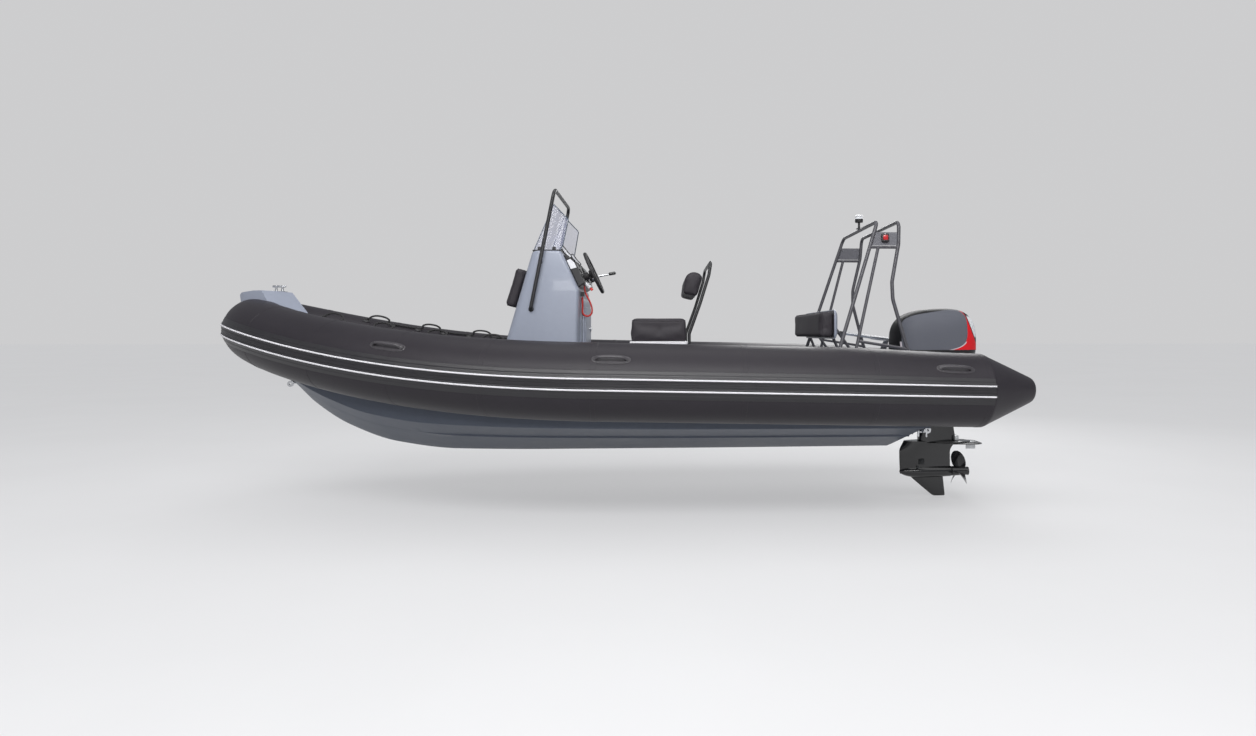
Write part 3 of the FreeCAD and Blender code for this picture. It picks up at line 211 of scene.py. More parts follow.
# key, name, colour, roughness, bumps, mottle with its scale, and other settings
FINISHES = (
    ("tube", "tube_fabric", (0.025, 0.022, 0.027), 0.42, "cells 620 .12, noise 60 .12", (0.07, 2.2),
     {"vary": 0.04, "specular": 0.25}),
    ("handle", "handle_rubber", (0.050, 0.046, 0.052), 0.42, "cells 700 .2", (0.12, 25), {}),
    ("strake", "strake_rubber", (0.018, 0.017, 0.020), 0.38, "noise 160 .25", (0.12, 8), {}),
    ("white_rubber", "white_rubber", (0.74, 0.73, 0.76), 0.42, "noise 120 .2", (0.04,), {}),
    ("hull", "hull_gelcoat", (0.108, 0.124, 0.158), 0.40, "noise 9 .08", (0.05, 1.6), {"specular": 0.22}),
    ("console", "console_gelcoat", (0.298, 0.325, 0.398), 0.34, "noise 3 .4", (0.03, 2.5), {"coat": 0.3}),
    ("deck", "deck_gelcoat", (0.34, 0.37, 0.43), 0.40, "noise 5 .4", (0.05, 4), {}),
    ("nonskid", "nonskid_gelcoat", (0.25, 0.27, 0.31), 0.62, "cracks 150 1.1, noise 320 .3", (0.08, 12),
     {"dust": 0.08}),
    ("white", "white_gelcoat", (0.66, 0.67, 0.70), 0.30, "noise 4 .6", (0.03,), {"coat": 0.3}),
    ("vinyl", "charcoal_vinyl", (0.040, 0.036, 0.042), 0.56, "cells 430 .3, noise 14 .5, noise 60 .2",
     (0.12, 7),
     {"sheen": 0.02, "specular": 0.22}),
    ("thread", "seam_thread", (0.05, 0.048, 0.052), 0.7, "weave 260 .4", (), {}),
    ("black_tube", "powder_black", (0.020, 0.020, 0.022), 0.34, "noise 520 .12", (0.10, 12), {}),
    ("arch", "arch_grey", (0.070, 0.068, 0.078), 0.36, "noise 520 .12", (0.08, 10), {}),
    ("plate", "plate_grey", (0.125, 0.125, 0.142), 0.40, "noise 400 .14", (0.06,), {}),
    ("black_plastic", "black_plastic", (0.018, 0.018, 0.020), 0.42, "cells 900 .12", (0.12, 20), {}),
    ("gloss_black", "gloss_black", (0.012, 0.012, 0.013), 0.16, "noise 5 .5", (0.10, 5),
     {"coat": 0.4, "vary": 0.05}),
    ("steel", "polished_steel", (0.62, 0.63, 0.65), 0.20, "noise 90 .12", (0.05, 30),
     {"metal": 1.0, "vary": 0.06}),
    ("cast", "cast_black", (0.020, 0.020, 0.022), 0.36, "noise 180 .4", (0.15, 18), {}),
    ("rope", "braided_rope", (0.030, 0.029, 0.031), 0.72, "weave 300 1.2", (0.25, 60), {}),
    ("soft_black", "soft_black", (0.022, 0.021, 0.023), 0.55, "cells 520 .3", (0.12, 25), {}),
    ("red_lens", "red_lens", (0.50, 0.015, 0.02), 0.12, "noise 40 .4", (), {"coat": 0.6}),
    ("green_lens", "green_lens", (0.01, 0.28, 0.08), 0.12, "noise 40 .4", (), {"coat": 0.6}),
    ("white_lens", "white_lens", (0.80, 0.81, 0.84), 0.15, "noise 40 .3", (0.03,), {"coat": 0.5}),
    ("display", "display_glass", (0.006, 0.008, 0.012), 0.08, "noise 6 .1", (0.2,),
     {"coat": 0.8, "vary": 0.03}),
    ("red_plastic", "red_plastic", (0.62, 0.03, 0.02), 0.35, "noise 120 .2", (), {"coat": 0.2}),
    # the zinc also paints a highlight: the pale patch on the tail of the anti-ventilation plate is a painted
    # glint
    ("anode_and_glint", "zinc_and_glint", (0.62, 0.63, 0.64), 0.50, "noise 110 .6", (0.12, 40), {"metal": 0.6}),
    ("webbing", "strap_webbing", (0.16, 0.155, 0.17), 0.6, "weave 420 .6", (), {}),
    ("rubber_seam", "rubber_seam", (0.020, 0.022, 0.026), 0.6, "noise 200 .2", (), {}),
    ("acrylic_edge", "acrylic_edge", (0.030, 0.055, 0.085), 0.15, "noise 60 .2", (0.15, 15), {"coat": 0.5}),
    ("powerhead", "cast_aluminium", (0.30, 0.30, 0.31), 0.5, "noise 120 .6", (), {"metal": 0.8}))
MAT = {key: surface(name, colour, rough, bumps, *mottle, **more)
       for key, name, colour, rough, bumps, mottle, more in FINISHES}
MAT["screen"] = clear_plastic("smoke_acrylic", (0.40, 0.42, 0.56))


# ---------------------------------------------------------------- mesh helpers; a part is (verts, faces)
def finish_piece(ob, mat, body, smooth, stands_for):
    mesh = ob.data
    mesh.materials.append(MAT[mat])
    mesh.shade_smooth()
    mesh.set_sharp_from_angle(angle=radians(smooth))
    scene.collection.objects.link(ob)
    nodes = stands_for.split()
    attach(ob, body)
    if nodes:
        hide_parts(*nodes)
    return ob


def put(name, parts, mat, body="boat", smooth=38, stands_for=""):
    """New piece from a part or a list of parts; the CAD pieces that it stands for are hidden."""
    verts, faces = join(parts) if isinstance(parts, list) else parts
    mesh = bpy.data.meshes.new(name)
    mesh.from_pydata([tuple(c * MM for c in v) for v in verts], [], faces)
    bm = bmesh.new()
    bm.from_mesh(mesh)
    bmesh.ops.remove_doubles(bm, verts=bm.verts, dist=1e-6)
    bmesh.ops.recalc_face_normals(bm, faces=bm.faces)
    bm.to_mesh(mesh)
    bm.free()
    return finish_piece(bpy.data.objects.new(name, mesh), mat, body, smooth, stands_for)


def join(parts):
    verts, faces = [], []
    for v, f in parts:
        base = len(verts)
        verts += v
        faces += [tuple(base + i for i in face) for face in f]
    return verts, faces


def flip(points):
    """The points on the other side of the boat."""
    return [V(p[0], -p[1], p[2]) for p in points]


def mirrored(part):
    return flip(part[0]), [face[::-1] for face in part[1]]


def both(part):
    return [part, mirrored(part)]


def across(half):
    """Line from one side of the boat to the other."""
    return half + flip(half[::-1])


def turns(count):
    """Angles that divide a full turn."""
    return [2 * pi * k / count for k in range(count)]


def skin(rings):
    """Quads between closed rings of equal length, with end faces."""
    count, last = len(rings[0]), len(rings) - 1
    faces = []
    for i in range(0, last * count, count):
        for j in range(count):
            a, b = i + j, i + (j + 1) % count
            faces.append((a, b, b + count, a + count))
    ends = tuple(range(count))[::-1], tuple(range(last * count, last * count + count))
    return [p for ring in rings for p in ring], faces + [*ends]


def bent(points, radii, steps=8):
    """Points along straight runs joined by arcs."""
    out = [points[0]]
    for before, at, after, radius in zip(points, points[1:], points[2:], radii):
        back, on = (before - at).normalized(), (after - at).normalized()
        turn = pi - back.angle(on)
        if turn < 0.01:
            out.append(at)
            continue
        start = at + back * (radius * tan(turn / 2))
        centre = at + (back + on).normalized() * (radius / cos(turn / 2))
        axis = (-back).cross(on).normalized()
        count = max(3, int(steps * turn / 1.2) + 1)
        out += [centre + Matrix.Rotation(turn * k / count, 3, axis) @ (start - centre)
                for k in range(count + 1)]
    return out + [points[-1]]


def curve_through(points, per):
    """Smooth path through the points."""
    ext = [points[0] * 2 - points[1]] + points + [points[-1] * 2 - points[-2]]
    out = []
    for a, b, c, d in zip(ext, ext[1:], ext[2:], ext[3:]):
        for t in (k / per for k in range(per)):
            out.append(0.5 * ((2 * b) + (c - a) * t + (2 * a - 5 * b + 4 * c - d) * t ** 2
                              + (3 * b - a - 3 * c + d) * t ** 3))
    return out + [points[-1]]


def sweep(path, radius, sides=18, flat=1.0, normal=None):
    """Round or oval bar along a path; radius is a number or a function of the share of the path."""
    last = len(path) - 1
    tangents = [(path[min(last, i + 1)] - path[max(0, i - 1)]).normalized() for i in range(last + 1)]
    side = tangents[0].orthogonal() if normal is None else normal
    rings = []
    for i, (p, t) in enumerate(zip(path, tangents)):
        side = (side - t * side.dot(t)).normalized()
        other = t.cross(side)
        r = radius(i / last) if callable(radius) else radius
        rings.append([p + side * (r * flat * cos(a)) + other * (r * sin(a)) for a in turns(sides)])
    return skin(rings)


def revolve(profile, origin, axis, sides=32):
    """Profile of (distance along the axis, radius), turned about it."""
    side = axis.orthogonal().normalized()
    other = axis.cross(side)
    return skin([[origin + axis * d + (side * cos(a) + other * sin(a)) * max(r, 0.01) for a in turns(sides)]
                 for d, r in profile])


def mesh_part(bm, at):
    """Part from a bmesh, with each corner where at() puts it."""
    bm.verts.index_update()
    part = [at(v.co) for v in bm.verts], [tuple(v.index for v in f.verts) for f in bm.faces]
    bm.free()
    return part


def block(centre, size, radius, axes=(X, Y, Z), segments=3):
    """Box with rounded edges, in its own axes."""
    bm = bmesh.new()
    bmesh.ops.create_cube(bm, size=1.0)
    for v in bm.verts:
        v.co = [c * s for c, s in zip(v.co, size)]
    bmesh.ops.bevel(bm, geom=list(bm.edges), offset=min(radius, min(size) * 0.49), segments=segments,
                    profile=0.5, affect="EDGES")
    u, v, w = axes
    return mesh_part(bm, lambda p: centre + u * p.x + v * p.y + w * p.z)


def clean_copy(node, sharp, width, segments, shape=None):
    """Copy of a CAD mesh, in metres, with its flat faces made whole and its hard edges rounded."""
    bm = bmesh.new()
    bm.from_mesh(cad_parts[node].data)
    bmesh.ops.remove_doubles(bm, verts=bm.verts, dist=1e-5)
    bmesh.ops.dissolve_limit(bm, angle_limit=radians(1.0), verts=bm.verts, edges=bm.edges)
    if shape:
        shape(bm)
    edges = [e for e in bm.edges if len(e.link_faces) == 2 and e.calc_face_angle(0) > sharp]
    bmesh.ops.bevel(bm, geom=edges, offset=width * MM, segments=segments, profile=0.5, affect="EDGES",
                    clamp_overlap=True)
    return bm


def cut(bm, point, normal):
    """Takes off what lies beyond a plane and closes the section."""
    done = bmesh.ops.bisect_plane(bm, geom=bm.verts[:] + bm.edges[:] + bm.faces[:], dist=1e-6, plane_co=point,
                                  plane_no=normal, clear_outer=True)
    rim = [g for g in done["geom_cut"] if isinstance(g, bmesh.types.BMEdge)]
    bmesh.ops.holes_fill(bm, edges=rim, sides=0)


def softened(node, name, mat, width, body="boat", segments=3, sharp=28, shape=None):
    """The CAD piece with its hard edges rounded."""
    mesh = bpy.data.meshes.new(name)
    bm = clean_copy(node, radians(sharp), width, segments, shape)
    bm.to_mesh(mesh)
    bm.free()
    ob = finish_piece(bpy.data.objects.new(name, mesh), mat, body, 42, node)
    ob.modifiers.new("normals", "WEIGHTED_NORMAL").keep_sharp = True


def dress(mat, *nodes):
    """Keeps CAD pieces as they are, in a better material."""
    for node in nodes:
        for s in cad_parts[node].material_slots:
            s.link, s.material = "OBJECT", MAT[mat]


def blend_between(rows, x):
    """Smooth values between table rows keyed by their first column."""
    xs = [r[0] for r in rows]
    last = len(xs) - 1
    x = min(max(x, xs[0]), xs[-1])
    i = max(0, min(last - 1, int(np.searchsorted(xs, x, side="right")) - 1))
    h = xs[i + 1] - xs[i]
    t = (x - xs[i]) / h
    out = []
    for ys in list(zip(*rows))[1:]:
        rise = [(b - a) / (q - p) for a, b, p, q in zip(ys, ys[1:], xs, xs[1:])]

        def slope(k):
            a, b = rise[max(k - 1, 0)], rise[min(k, last - 1)]
            return a if a == b else 0.0 if a * b <= 0 else 2 * a * b / (a + b)

        out.append((2 * t ** 3 - 3 * t ** 2 + 1) * ys[i] + (t ** 3 - 2 * t ** 2 + t) * h * slope(i)
                   + (3 * t ** 2 - 2 * t ** 3) * ys[i + 1] + (t ** 3 - t ** 2) * h * slope(i + 1))
    return out


# ---------------------------------------------------------------- inflatable collar
TUBE_R, HALF_BEAM, AFT_X, AFT_Z, SLOPE = 270.0, 960.0, -2650.0, 175.0, 0.021
BOW_X, BOW_LENGTH, BOW_RISE, SHEER, TAPER = 75.0, 2656.0, 320.0, 2.37, 0.13
BOW_PLAN = ((BOW_X, HALF_BEAM), (BOW_X + 50, HALF_BEAM), (BOW_X + BOW_LENGTH, 700), (BOW_X + BOW_LENGTH, 0))
ALONG = sqrt(1 + SLOPE ** 2)                # length along the straight tube for each unit of x
SLACK_X, SLACK_LENGTH, SLACK = -1600, 1100, 0.095


def bow_frame(t):
    """Centre, outboard, up and radius on the port bow, from 0 (shoulder) to 1 (nose)."""
    s = 1 - t
    x, y = (s ** 3 * a + 3 * s * s * t * b + 3 * s * t * t * c + t ** 3 * d for a, b, c, d in zip(*BOW_PLAN))
    dx, dy = (s * s * (b - a) + 2 * s * t * (c - b) + t * t * (d - c) for a, b, c, d in zip(*BOW_PLAN))
    share = max(0.0, (x - BOW_X) / BOW_LENGTH)
    climb = SLOPE + BOW_RISE * SHEER * share ** (SHEER - 1) / BOW_LENGTH
    along, out = V(dx, dy, climb * dx).normalized(), V(-dy, dx).normalized()
    centre = V(x, y, AFT_Z + SLOPE * (x - AFT_X) + BOW_RISE * share ** SHEER)
    return centre, out, along.cross(out), TUBE_R * (1 - TAPER * share ** 2)


TURNS = np.linspace(0, 1, 801)
TURN_AT = [bow_frame(t)[0] for t in TURNS]
TURN_X = np.array([c.x for c in TURN_AT])
TURN_RUN = np.concatenate(([0.0], np.cumsum([(b - a).length for a, b in zip(TURN_AT, TURN_AT[1:])])))
NOSE_RUN, AFT_RUN = float(TURN_RUN[-1]), (AFT_X - BOW_X) * ALONG


def station(run, side=1):
    """Frame at a length along the collar, counted from the shoulder: below 0 on the straight tube."""
    if run <= 0:
        centre, out, up, radius = bow_frame(0.0)
        centre = centre + V(1, 0, SLOPE).normalized() * run
    else:
        centre, out, up, radius = bow_frame(float(np.interp(run, TURN_RUN, TURNS)))
    if side < 0:
        centre, out, up = flip((centre, out, up))
    return centre, out, up, radius


def x_station(x, side=1):
    return station((x - BOW_X) * ALONG if x <= BOW_X else float(np.interp(x, TURN_X, TURN_RUN)), side)


def settle(centre, offset):
    """The collar slackens a little on top towards the stern."""
    if offset.z > 0:
        t = min(max((SLACK_X - centre.x) / SLACK_LENGTH, 0.0), 1.0)
        offset = V(offset.x, offset.y, offset.z * (1 - SLACK * t * t * (3 - 2 * t)))
    return centre + offset


def around(at, angle, height):
    """Point above the skin, angle in degrees up from the outboard side."""
    centre, out, up, radius = at
    a = radians(angle)
    return settle(centre, (out * cos(a) + up * sin(a)) * (radius + height))


def collar_runs(straight=34, bow=110):
    return [float(r) for r in (*np.linspace(AFT_RUN, 0, straight), *np.linspace(0, NOSE_RUN, bow)[1:])]


def whole_collar(make, runs):
    """Rings from the port end round the nose to the starboard end."""
    port = [make(run) for run in runs]
    return port + [flip(ring) for ring in port[-2::-1]]


SPINE = [station(run) for run in collar_runs(60, 400)]
LINE = np.array([s[0] for s in SPINE])
LINE_R = np.array([s[3] for s in SPINE])


def on_skin(point, height):
    """Nearest point on the collar's skin, lifted by height."""
    side = 1 if point.y >= 0 else -1
    p = np.array((point.x, point.y * side, point.z))
    a, d = LINE[:-1], LINE[1:] - LINE[:-1]
    t = np.clip(((p - a) * d).sum(1) / (d * d).sum(1), 0, 1)
    near = a + d * t[:, None]
    i = int(np.argmin(((near - p) ** 2).sum(1)))
    centre = V(near[i][0], near[i][1] * side, near[i][2])
    radius = LINE_R[i] + (LINE_R[i + 1] - LINE_R[i]) * t[i]
    return settle(centre, (point - centre).normalized() * (radius + height))


def skin_axes(x, side, angle):
    """Seat on the skin, forward along it, out of it and across it."""
    at = x_station(x, side)
    aft, fore = (around(x_station(x + dx, side), angle, 0) for dx in (-20, 20))
    along = (fore - aft).normalized()
    radial = ((around(at, angle + 1, 0) - around(at, angle - 1, 0)).cross(along) * side).normalized()
    return around(at, angle, 0), along, radial, radial.cross(along)


def make_collar():
    """One smooth skin with glued seam bands, and a cone at each end."""
    seam, edge, lift, angles = 16, 15, 1.1, turns(80)
    cone = ((10, 266.5), (22, 260.5), (38, 251.5), (120, 212), (240, 153.5), (345, 102), (357, 95.5),
        (366, 89.5), (373, 81.5), (378, 70.5), (379.5, 58), (379.7, 30), (379.8, 2))
    bands = [(x - BOW_X) * ALONG for x in (-2625, -1860, -980, 20)]
    bands += [NOSE_RUN * share for share in (0.22, 0.44, 0.64, 0.83)]
    lifts = {run: 0.0 for run in collar_runs() if all(abs(run - b) > seam * 1.02 for b in bands)}
    lifts.update((b + d, h) for b in bands for d, h in ((-seam, 0), (-edge, lift), (edge, lift), (seam, 0)))

    def ring(centre, out, up, radius):
        return [settle(centre, (out * cos(a) + up * sin(a)) * radius) for a in angles]

    def lifted(run):
        *axes, radius = station(run)
        return ring(*axes, radius + lifts[run])

    centre, out, up, _ = station(AFT_RUN)
    aft = V(-1, 0, -SLOPE).normalized()
    tip = [ring(centre + aft * d, out, up, r) for d, r in cone]
    rings = tip[::-1] + whole_collar(lifted, sorted(lifts)) + [flip(r) for r in tip]
    put("collar_skin", skin(rings), "tube", smooth=30,
                  stands_for="tube_bow tube_port tube_starboard tube_cones")


def tube_band(profile, runs):
    """Profile of (arc length, height) carried along the collar."""
    def ring(run):
        at = station(run)
        return [around(at, degrees(s / at[3]), h) for s, h in profile]

    return skin(whole_collar(ring, runs))


def make_strake():
    upper = ((6, 5), (8, 7.5), (13, 7.5), (15, 5), (21, 6), (25, 9.3), (29, 10), (31, 8.6), (41, 8.6),
        (43, 10), (47, 9.5), (53, 7.5), (58, 4.6), (66, 3.6), (70, 4.8), (74, 3.4), (90, 2.4), (94.5, 1.2),
        (95, 0.3))
    runs = collar_runs(20)
    put("strake", tube_band([(-s, h) for s, h in upper[::-1]] + [(0, 5), *upper], runs), "strake", smooth=24,
        stands_for="rubbing_strake")
    bead = ((-5.6, 8.4), (-5.2, 12.2), (-3.6, 14.6), (0, 15.6), (3.6, 14.6), (5.2, 12.2), (5.6, 8.4))
    put("strake_beads", [tube_band([(middle + s, h) for s, h in bead], runs) for middle in (-36, 36)],
        "white_rubber", smooth=50, stands_for="strake_stripes")
    # a moulded plug closes each end of the strake
    seats = [around(x_station(AFT_X - 4, side), degrees(s / TUBE_R), 7) for side in (1, -1)
        for s in (-36, 36)]
    put("strake_end_plugs", [block(seat, (14, 14, 20), 4) for seat in seats], "strake")


def rounded_wave(value, exponent):
    return copysign(abs(value) ** exponent, value)


def make_handles():
    pads, grips, lips = [], [], []
    for x, side in ((x, side) for x in (1385, -95, -2392) for side in (1, -1)):
        seat, along, radial, wide = skin_axes(x, side, 37.0)

        def local(u, v, h):
            return on_skin(seat + along * u + wide * v, h)

        rings = []
        for share, h in ((1, 0.4), (0.985, 2.6), (0.95, 4), (0.86, 4.4), (0.80, 3.4), (0.5, 3), (0.02, 3)):
            half = 38 * (0.25 + 0.75 * share) * (share if share < 0.6 else 1)
            rings.append([local(131 * share * rounded_wave(cos(a), 0.86), half * rounded_wave(sin(a), 0.8), h)
                          for a in turns(56)])
        pads.append(skin(rings))
        lips.append(sweep([local(116 * cos(a), 31.5 * sin(a), 5.2) for a in turns(48) + [2 * pi]], 3, 8,
                          normal=radial))
        rise = ((108, 4), (98, 13), (84, 25), (62, 31.5))
        line = [(-u, h) for u, h in rise] + [(0, 33.5), *rise[::-1]]
        path = curve_through([local(u, 0, h) for u, h in line], 5)
        grips.append(sweep(path, lambda t: 7.8 + 6 * abs(2 * t - 1) ** 4, 14, 1.35, wide))
    put("handles_moulded", pads + lips + grips, "handle", smooth=40, stands_for="carry_handles")


def make_lifelines():
    """Grab line in a stiff sleeve, looped between moulded pads."""
    rope, pads, caps = [], [], []
    for side in (1, -1):
        points = []
        for x in (815, 1238, 1670, 2085):
            seat, along, radial, _ = skin_axes(x, side, 120.0)
            for u, rise in ((-95, 0), (-70, 33), (-30, 51), (30, 51), (70, 33), (95, 0)):
                points.append(on_skin(seat + along * u, 14 + rise))
            for u in (-107, 107):
                foot = on_skin(seat + along * u, 1.2)
                pads.append(revolve(((0, 0), (0, 31.5), (2.2, 31.5), (4.5, 27), (8.5, 21.5), (11.5, 17),
                    (11.8, 0)), foot, radial, 28))
                path = [foot + radial * 12.8 + along.cross(radial) * (12.5 * cos(a))
                        + radial * (10.5 * sin(a) - 2) for a in turns(16)[:9]]
                caps.append(sweep(path, 3.5, 8, 2.4, along))
        rope.append(sweep(curve_through(points, 7), 7.8, 12))
    put("grab_lines", rope, "rope", smooth=60, stands_for="lifelines")
    put("grab_line_pads", pads + caps, "soft_black")


def make_collar_details():
    """Skirt where the tubes meet the deck, and inflation valves in their patches."""
    skirts, valves = [], []
    for side in (1, -1):
        skirts.append(skin([[around(x_station(float(x), side), 180 + low, h)
                             for low, h in ((2, 0.4), (2.3, 2.2), (18, 2.6), (19.5, 0.4))]
                            for x in np.linspace(-2300, 1620, 60)]))
        for x in (-2100, -600, 950):
            seat, _, radial, _ = skin_axes(x, side, 138.0)
            valves.append(revolve(((-4, 0), (-4, 52), (1.6, 52), (2.4, 50), (2.4, 30), (8, 29), (10, 26),
                (10, 20), (8.5, 18.5), (8.5, 0)), seat, radial, 36))
    put("tube_skirts", skirts, "soft_black", smooth=40)
    put("air_valves", valves, "soft_black")


make_collar()
make_strake()
make_handles()
make_lifelines()
make_collar_details()


# ---------------------------------------------------------------- hull
# x, keel z, chine z
HULL_ROWS = ((-2460, -372, -118), (-500, -377, -112), (75, -377, -104), (500, -377, -101), (1200, -366, -83),
             (1681, -304, -24), (2060, -165, 90), (2330, 15, 205), (2450, 135, 262), (2561, 250, 315),
             (2651, 355, 372))
KEEL_AFT_X, KEEL_AFT_Z, RAKE = -2300, -372, radians(12)


def transom_x(z):
    return KEEL_AFT_X - tan(RAKE) * (z - KEEL_AFT_Z)


def hull_outline(x):
    """Half section from the keel up the topside and down into the well of the fore deck."""
    keel, chine = blend_between(HULL_ROWS, x)
    centre = x_station(x)[0]
    half = centre.y - 130
    top = 80 if x <= BOW_X else centre.z - 150
    inner, scale = 0.92 * half, half / 830

    def bottom(y):
        return y, keel + (chine - keel) * y / inner

    # the rail fades out towards the bow
    rail, width = 0.55 * half, 34 * scale
    drop = (bottom(rail)[1] - bottom(rail - width)[1]) * min(1.0, max(0.0, (1500 - x) / 450))
    foot = bottom(rail)[1] - drop
    deep = BOW_X < x <= 2561.1
    edge, floor = (max(80, chine + 20), max(80, keel + 45)) if deep else (top, top)
    return [(0, keel + 2), (10 * scale, keel + 4.5), *(bottom(share * half) for share in (0.15, 0.30, 0.42)),
            bottom(rail - width), (rail - 3, foot), (rail, foot + 2), bottom(rail + 2.5),
            *(bottom(share * half) for share in (0.68, 0.80)), (inner, chine), (half - 4, chine - 3),
            (half, chine + 1), (half + 4, (chine + top) / 2), (half, top), (half - 25, top + 0.2),
            (half - 25.2, edge), (0, floor)]


def make_hull():
    rings = []
    for x in (KEEL_AFT_X, *np.linspace(-2120, 74.5, 20), *np.linspace(75.5, 2561, 84), 2561.5, 2600, 2651):
        one = [V(float(x), y, z) for y, z in hull_outline(float(x))]
        if x == KEEL_AFT_X:
            one = [V(transom_x(p.z), p.y, p.z) for p in one]
        rings.append(one + flip(one[-2:0:-1]))
    put("hull_shell", skin(rings), "hull", smooth=16, stands_for="hull")


make_hull()


# ---------------------------------------------------------------- red curly lanyard
# x, y from the middle of the loop and z
LANYARD = ((172, 0, 934), (172, 0, 902), (160, 2, 868), (142, 3, 834), (125, 1, 798), (114, -1, 760),
           (112, -2, 734), (119.4, -3, 711.1), (138.9, -4, 696.9), (163.1, -4, 696.9), (182.6, -3, 711.1),
           (190, -2, 734), (187, -1, 768), (188, 0, 810), (188, 0, 852))
LANYARD_Y, LANYARD_TURNS, LANYARD_STEPS = 250, 78, 12


def route_line(points):
    """Evenly read points of the smooth line that has these as its control points, in metres."""
    curve = bpy.data.curves.new("route", "CURVE")
    curve.dimensions = "3D"
    curve.resolution_u = 40
    spline = curve.splines.new("NURBS")
    spline.points.add(len(points) - 1)
    for point, at in zip(spline.points, points):
        point.co = (*at, 1.0)
    spline.order_u = 3
    spline.use_endpoint_u = True
    ob = bpy.data.objects.new("route", curve)
    mesh = bpy.data.meshes.new_from_object(ob)
    line = [v.co.copy() for v in mesh.vertices]
    bpy.data.objects.remove(ob)
    bpy.data.curves.remove(curve)
    bpy.data.meshes.remove(mesh)
    return line


def make_lanyard():
    line = route_line([(x / 1000, (LANYARD_Y + dy) / 1000, z / 1000) for x, dy, z in LANYARD])
    run = [0.0]
    for a, b in zip(line, line[1:]):
        run.append(run[-1] + (b - a).length)
    coil, side, count = [], Y.copy(), LANYARD_TURNS * LANYARD_STEPS
    for k in range(count + 1):
        s = run[-1] * k / count
        i = min(int(np.searchsorted(run, s, side="right")) - 1, len(line) - 2)
        t = (line[i + 1] - line[i]).normalized()
        at = line[i] + (line[i + 1] - line[i]) * ((s - run[i]) / (run[i + 1] - run[i]))
        side = (side - t * side.dot(t)).normalized()
        a = 2 * pi * k / LANYARD_STEPS
        # the ends run straight into their sockets
        reach = 5.9 * min(1.0, s / 0.012, (run[-1] - s) / 0.012)
        coil.append(at / MM + (side * cos(a) + t.cross(side) * sin(a)) * reach)
    cord = put("lanyard", sweep(coil, 2.1, 6), "red_plastic", smooth=60, stands_for="stop_lanyard")


make_lanyard()


# ---------------------------------------------------------------- moulded decks and lockers
def outline(x0, x1, y0, y1, radius, steps=6):
    """Rounded rectangle, counter-clockwise."""
    radius = min(radius, (x1 - x0) * 0.499, (y1 - y0) * 0.499)
    return arcs(((x1 - radius, y1 - radius), (x0 + radius, y1 - radius), (x0 + radius, y0 + radius),
                 (x1 - radius, y0 + radius)), [radius] * 4, steps)


def arcs(centres, radii, steps):
    """A quarter turn about each centre, the first from 0 degrees."""
    return [(cx + r * cos(a), cy + r * sin(a)) for i, ((cx, cy), r) in enumerate(zip(centres, radii))
            for a in (radians(90 * (i + k / steps)) for k in range(steps + 1))]


def raised_pad(x0, x1, y0, y1, z):
    """Thin panel with a soft edge on a level face."""
    return skin([[V(x, y, z + h) for x, y in outline(x0 + inset, x1 - inset, y0 + inset, y1 - inset, 30)]
                 for inset, h in ((0, -0.8), (0, 0.2), (1.5, 2), (4, 2.5))])


def bow_step(bm):
    """Upper step drawn in to a blunt point aft, above a low shoulder."""
    upper = bm.copy()
    cut(bm, (0, 0, 0.655), Z)
    cut(upper, (0, 0, 0.654), -Z)
    for side in (1, -1):
        cut(upper, (2.494, 0, 0.866), (-0.0351, 0.0178 * side, 0.0261))
    mesh = bpy.data.meshes.new("bow_step")
    upper.to_mesh(mesh)
    upper.free()
    bm.from_mesh(mesh)
    bpy.data.meshes.remove(mesh)


def make_mouldings():
    softened("deck", "deck_moulding", "deck", 6)
    softened("transom_well", "transom_moulding", "deck", 12)
    softened("bow_locker", "bow_locker_moulding", "deck", 6)
    softened("bow_hatch", "bow_hatch_lid_moulding", "white", 5, "bow_hatch_lid")
    softened("bow_platform", "bow_platform_moulding", "console", 10, shape=bow_step)
    softened("front_seat", "front_seat_box", "console", 5)
    softened("helm_seat", "helm_seat_box", "console", 5)
    softened("helm_lid", "helm_lid_board", "white", 5, "helm_seat_lid")
    softened("stern_bench", "stern_bench_box", "deck", 5)
    pads = [raised_pad(x0, x1, -half, half, 100) for x0, x1, half in ((-1130, -680, 580), (-165, 205, 580),
                                                                       (1285, 1655, 360))]
    for x0, x1, y0, y1 in ((240, 1200, 430, 600), (-600, -190, 450, 600), (920, 1220, 310, 420)):
        pads += [raised_pad(x0, x1, y0, y1, 100), raised_pad(x0, x1, -y1, -y0, 100)]
    pads += [raised_pad(-2040, -1900, y, y + 160, 300) for y in (360, -520)]
    put("nonskid_panels", pads, "nonskid", smooth=30)
    put("hatch_nonskid", raised_pad(1775, 2105, -200, 200, 446.3), "nonskid",
        "bow_hatch_lid", 30)


make_mouldings()


# ---------------------------------------------------------------- console
TOP_Z = 1190.3                              # just clear of the console's top


def console_ends(z):
    """Fore and aft x of the console at a height."""
    aft = 222 - 22 * (z - 100) / 795 if z < 895 else 200 + 135 * (z - 895) / 295
    return 873 - 0.289 * (z - 100), aft


def console_ring(z, inset=0.0):
    fore, aft = console_ends(z)
    fore, aft = fore - 75, aft + 28
    return [V(x, y, z) for x, y in arcs(((fore, 325), (aft, 372), (aft, -372), (fore, -325)),
                                        [r - inset for r in (75, 28, 28, 75)], 8)]


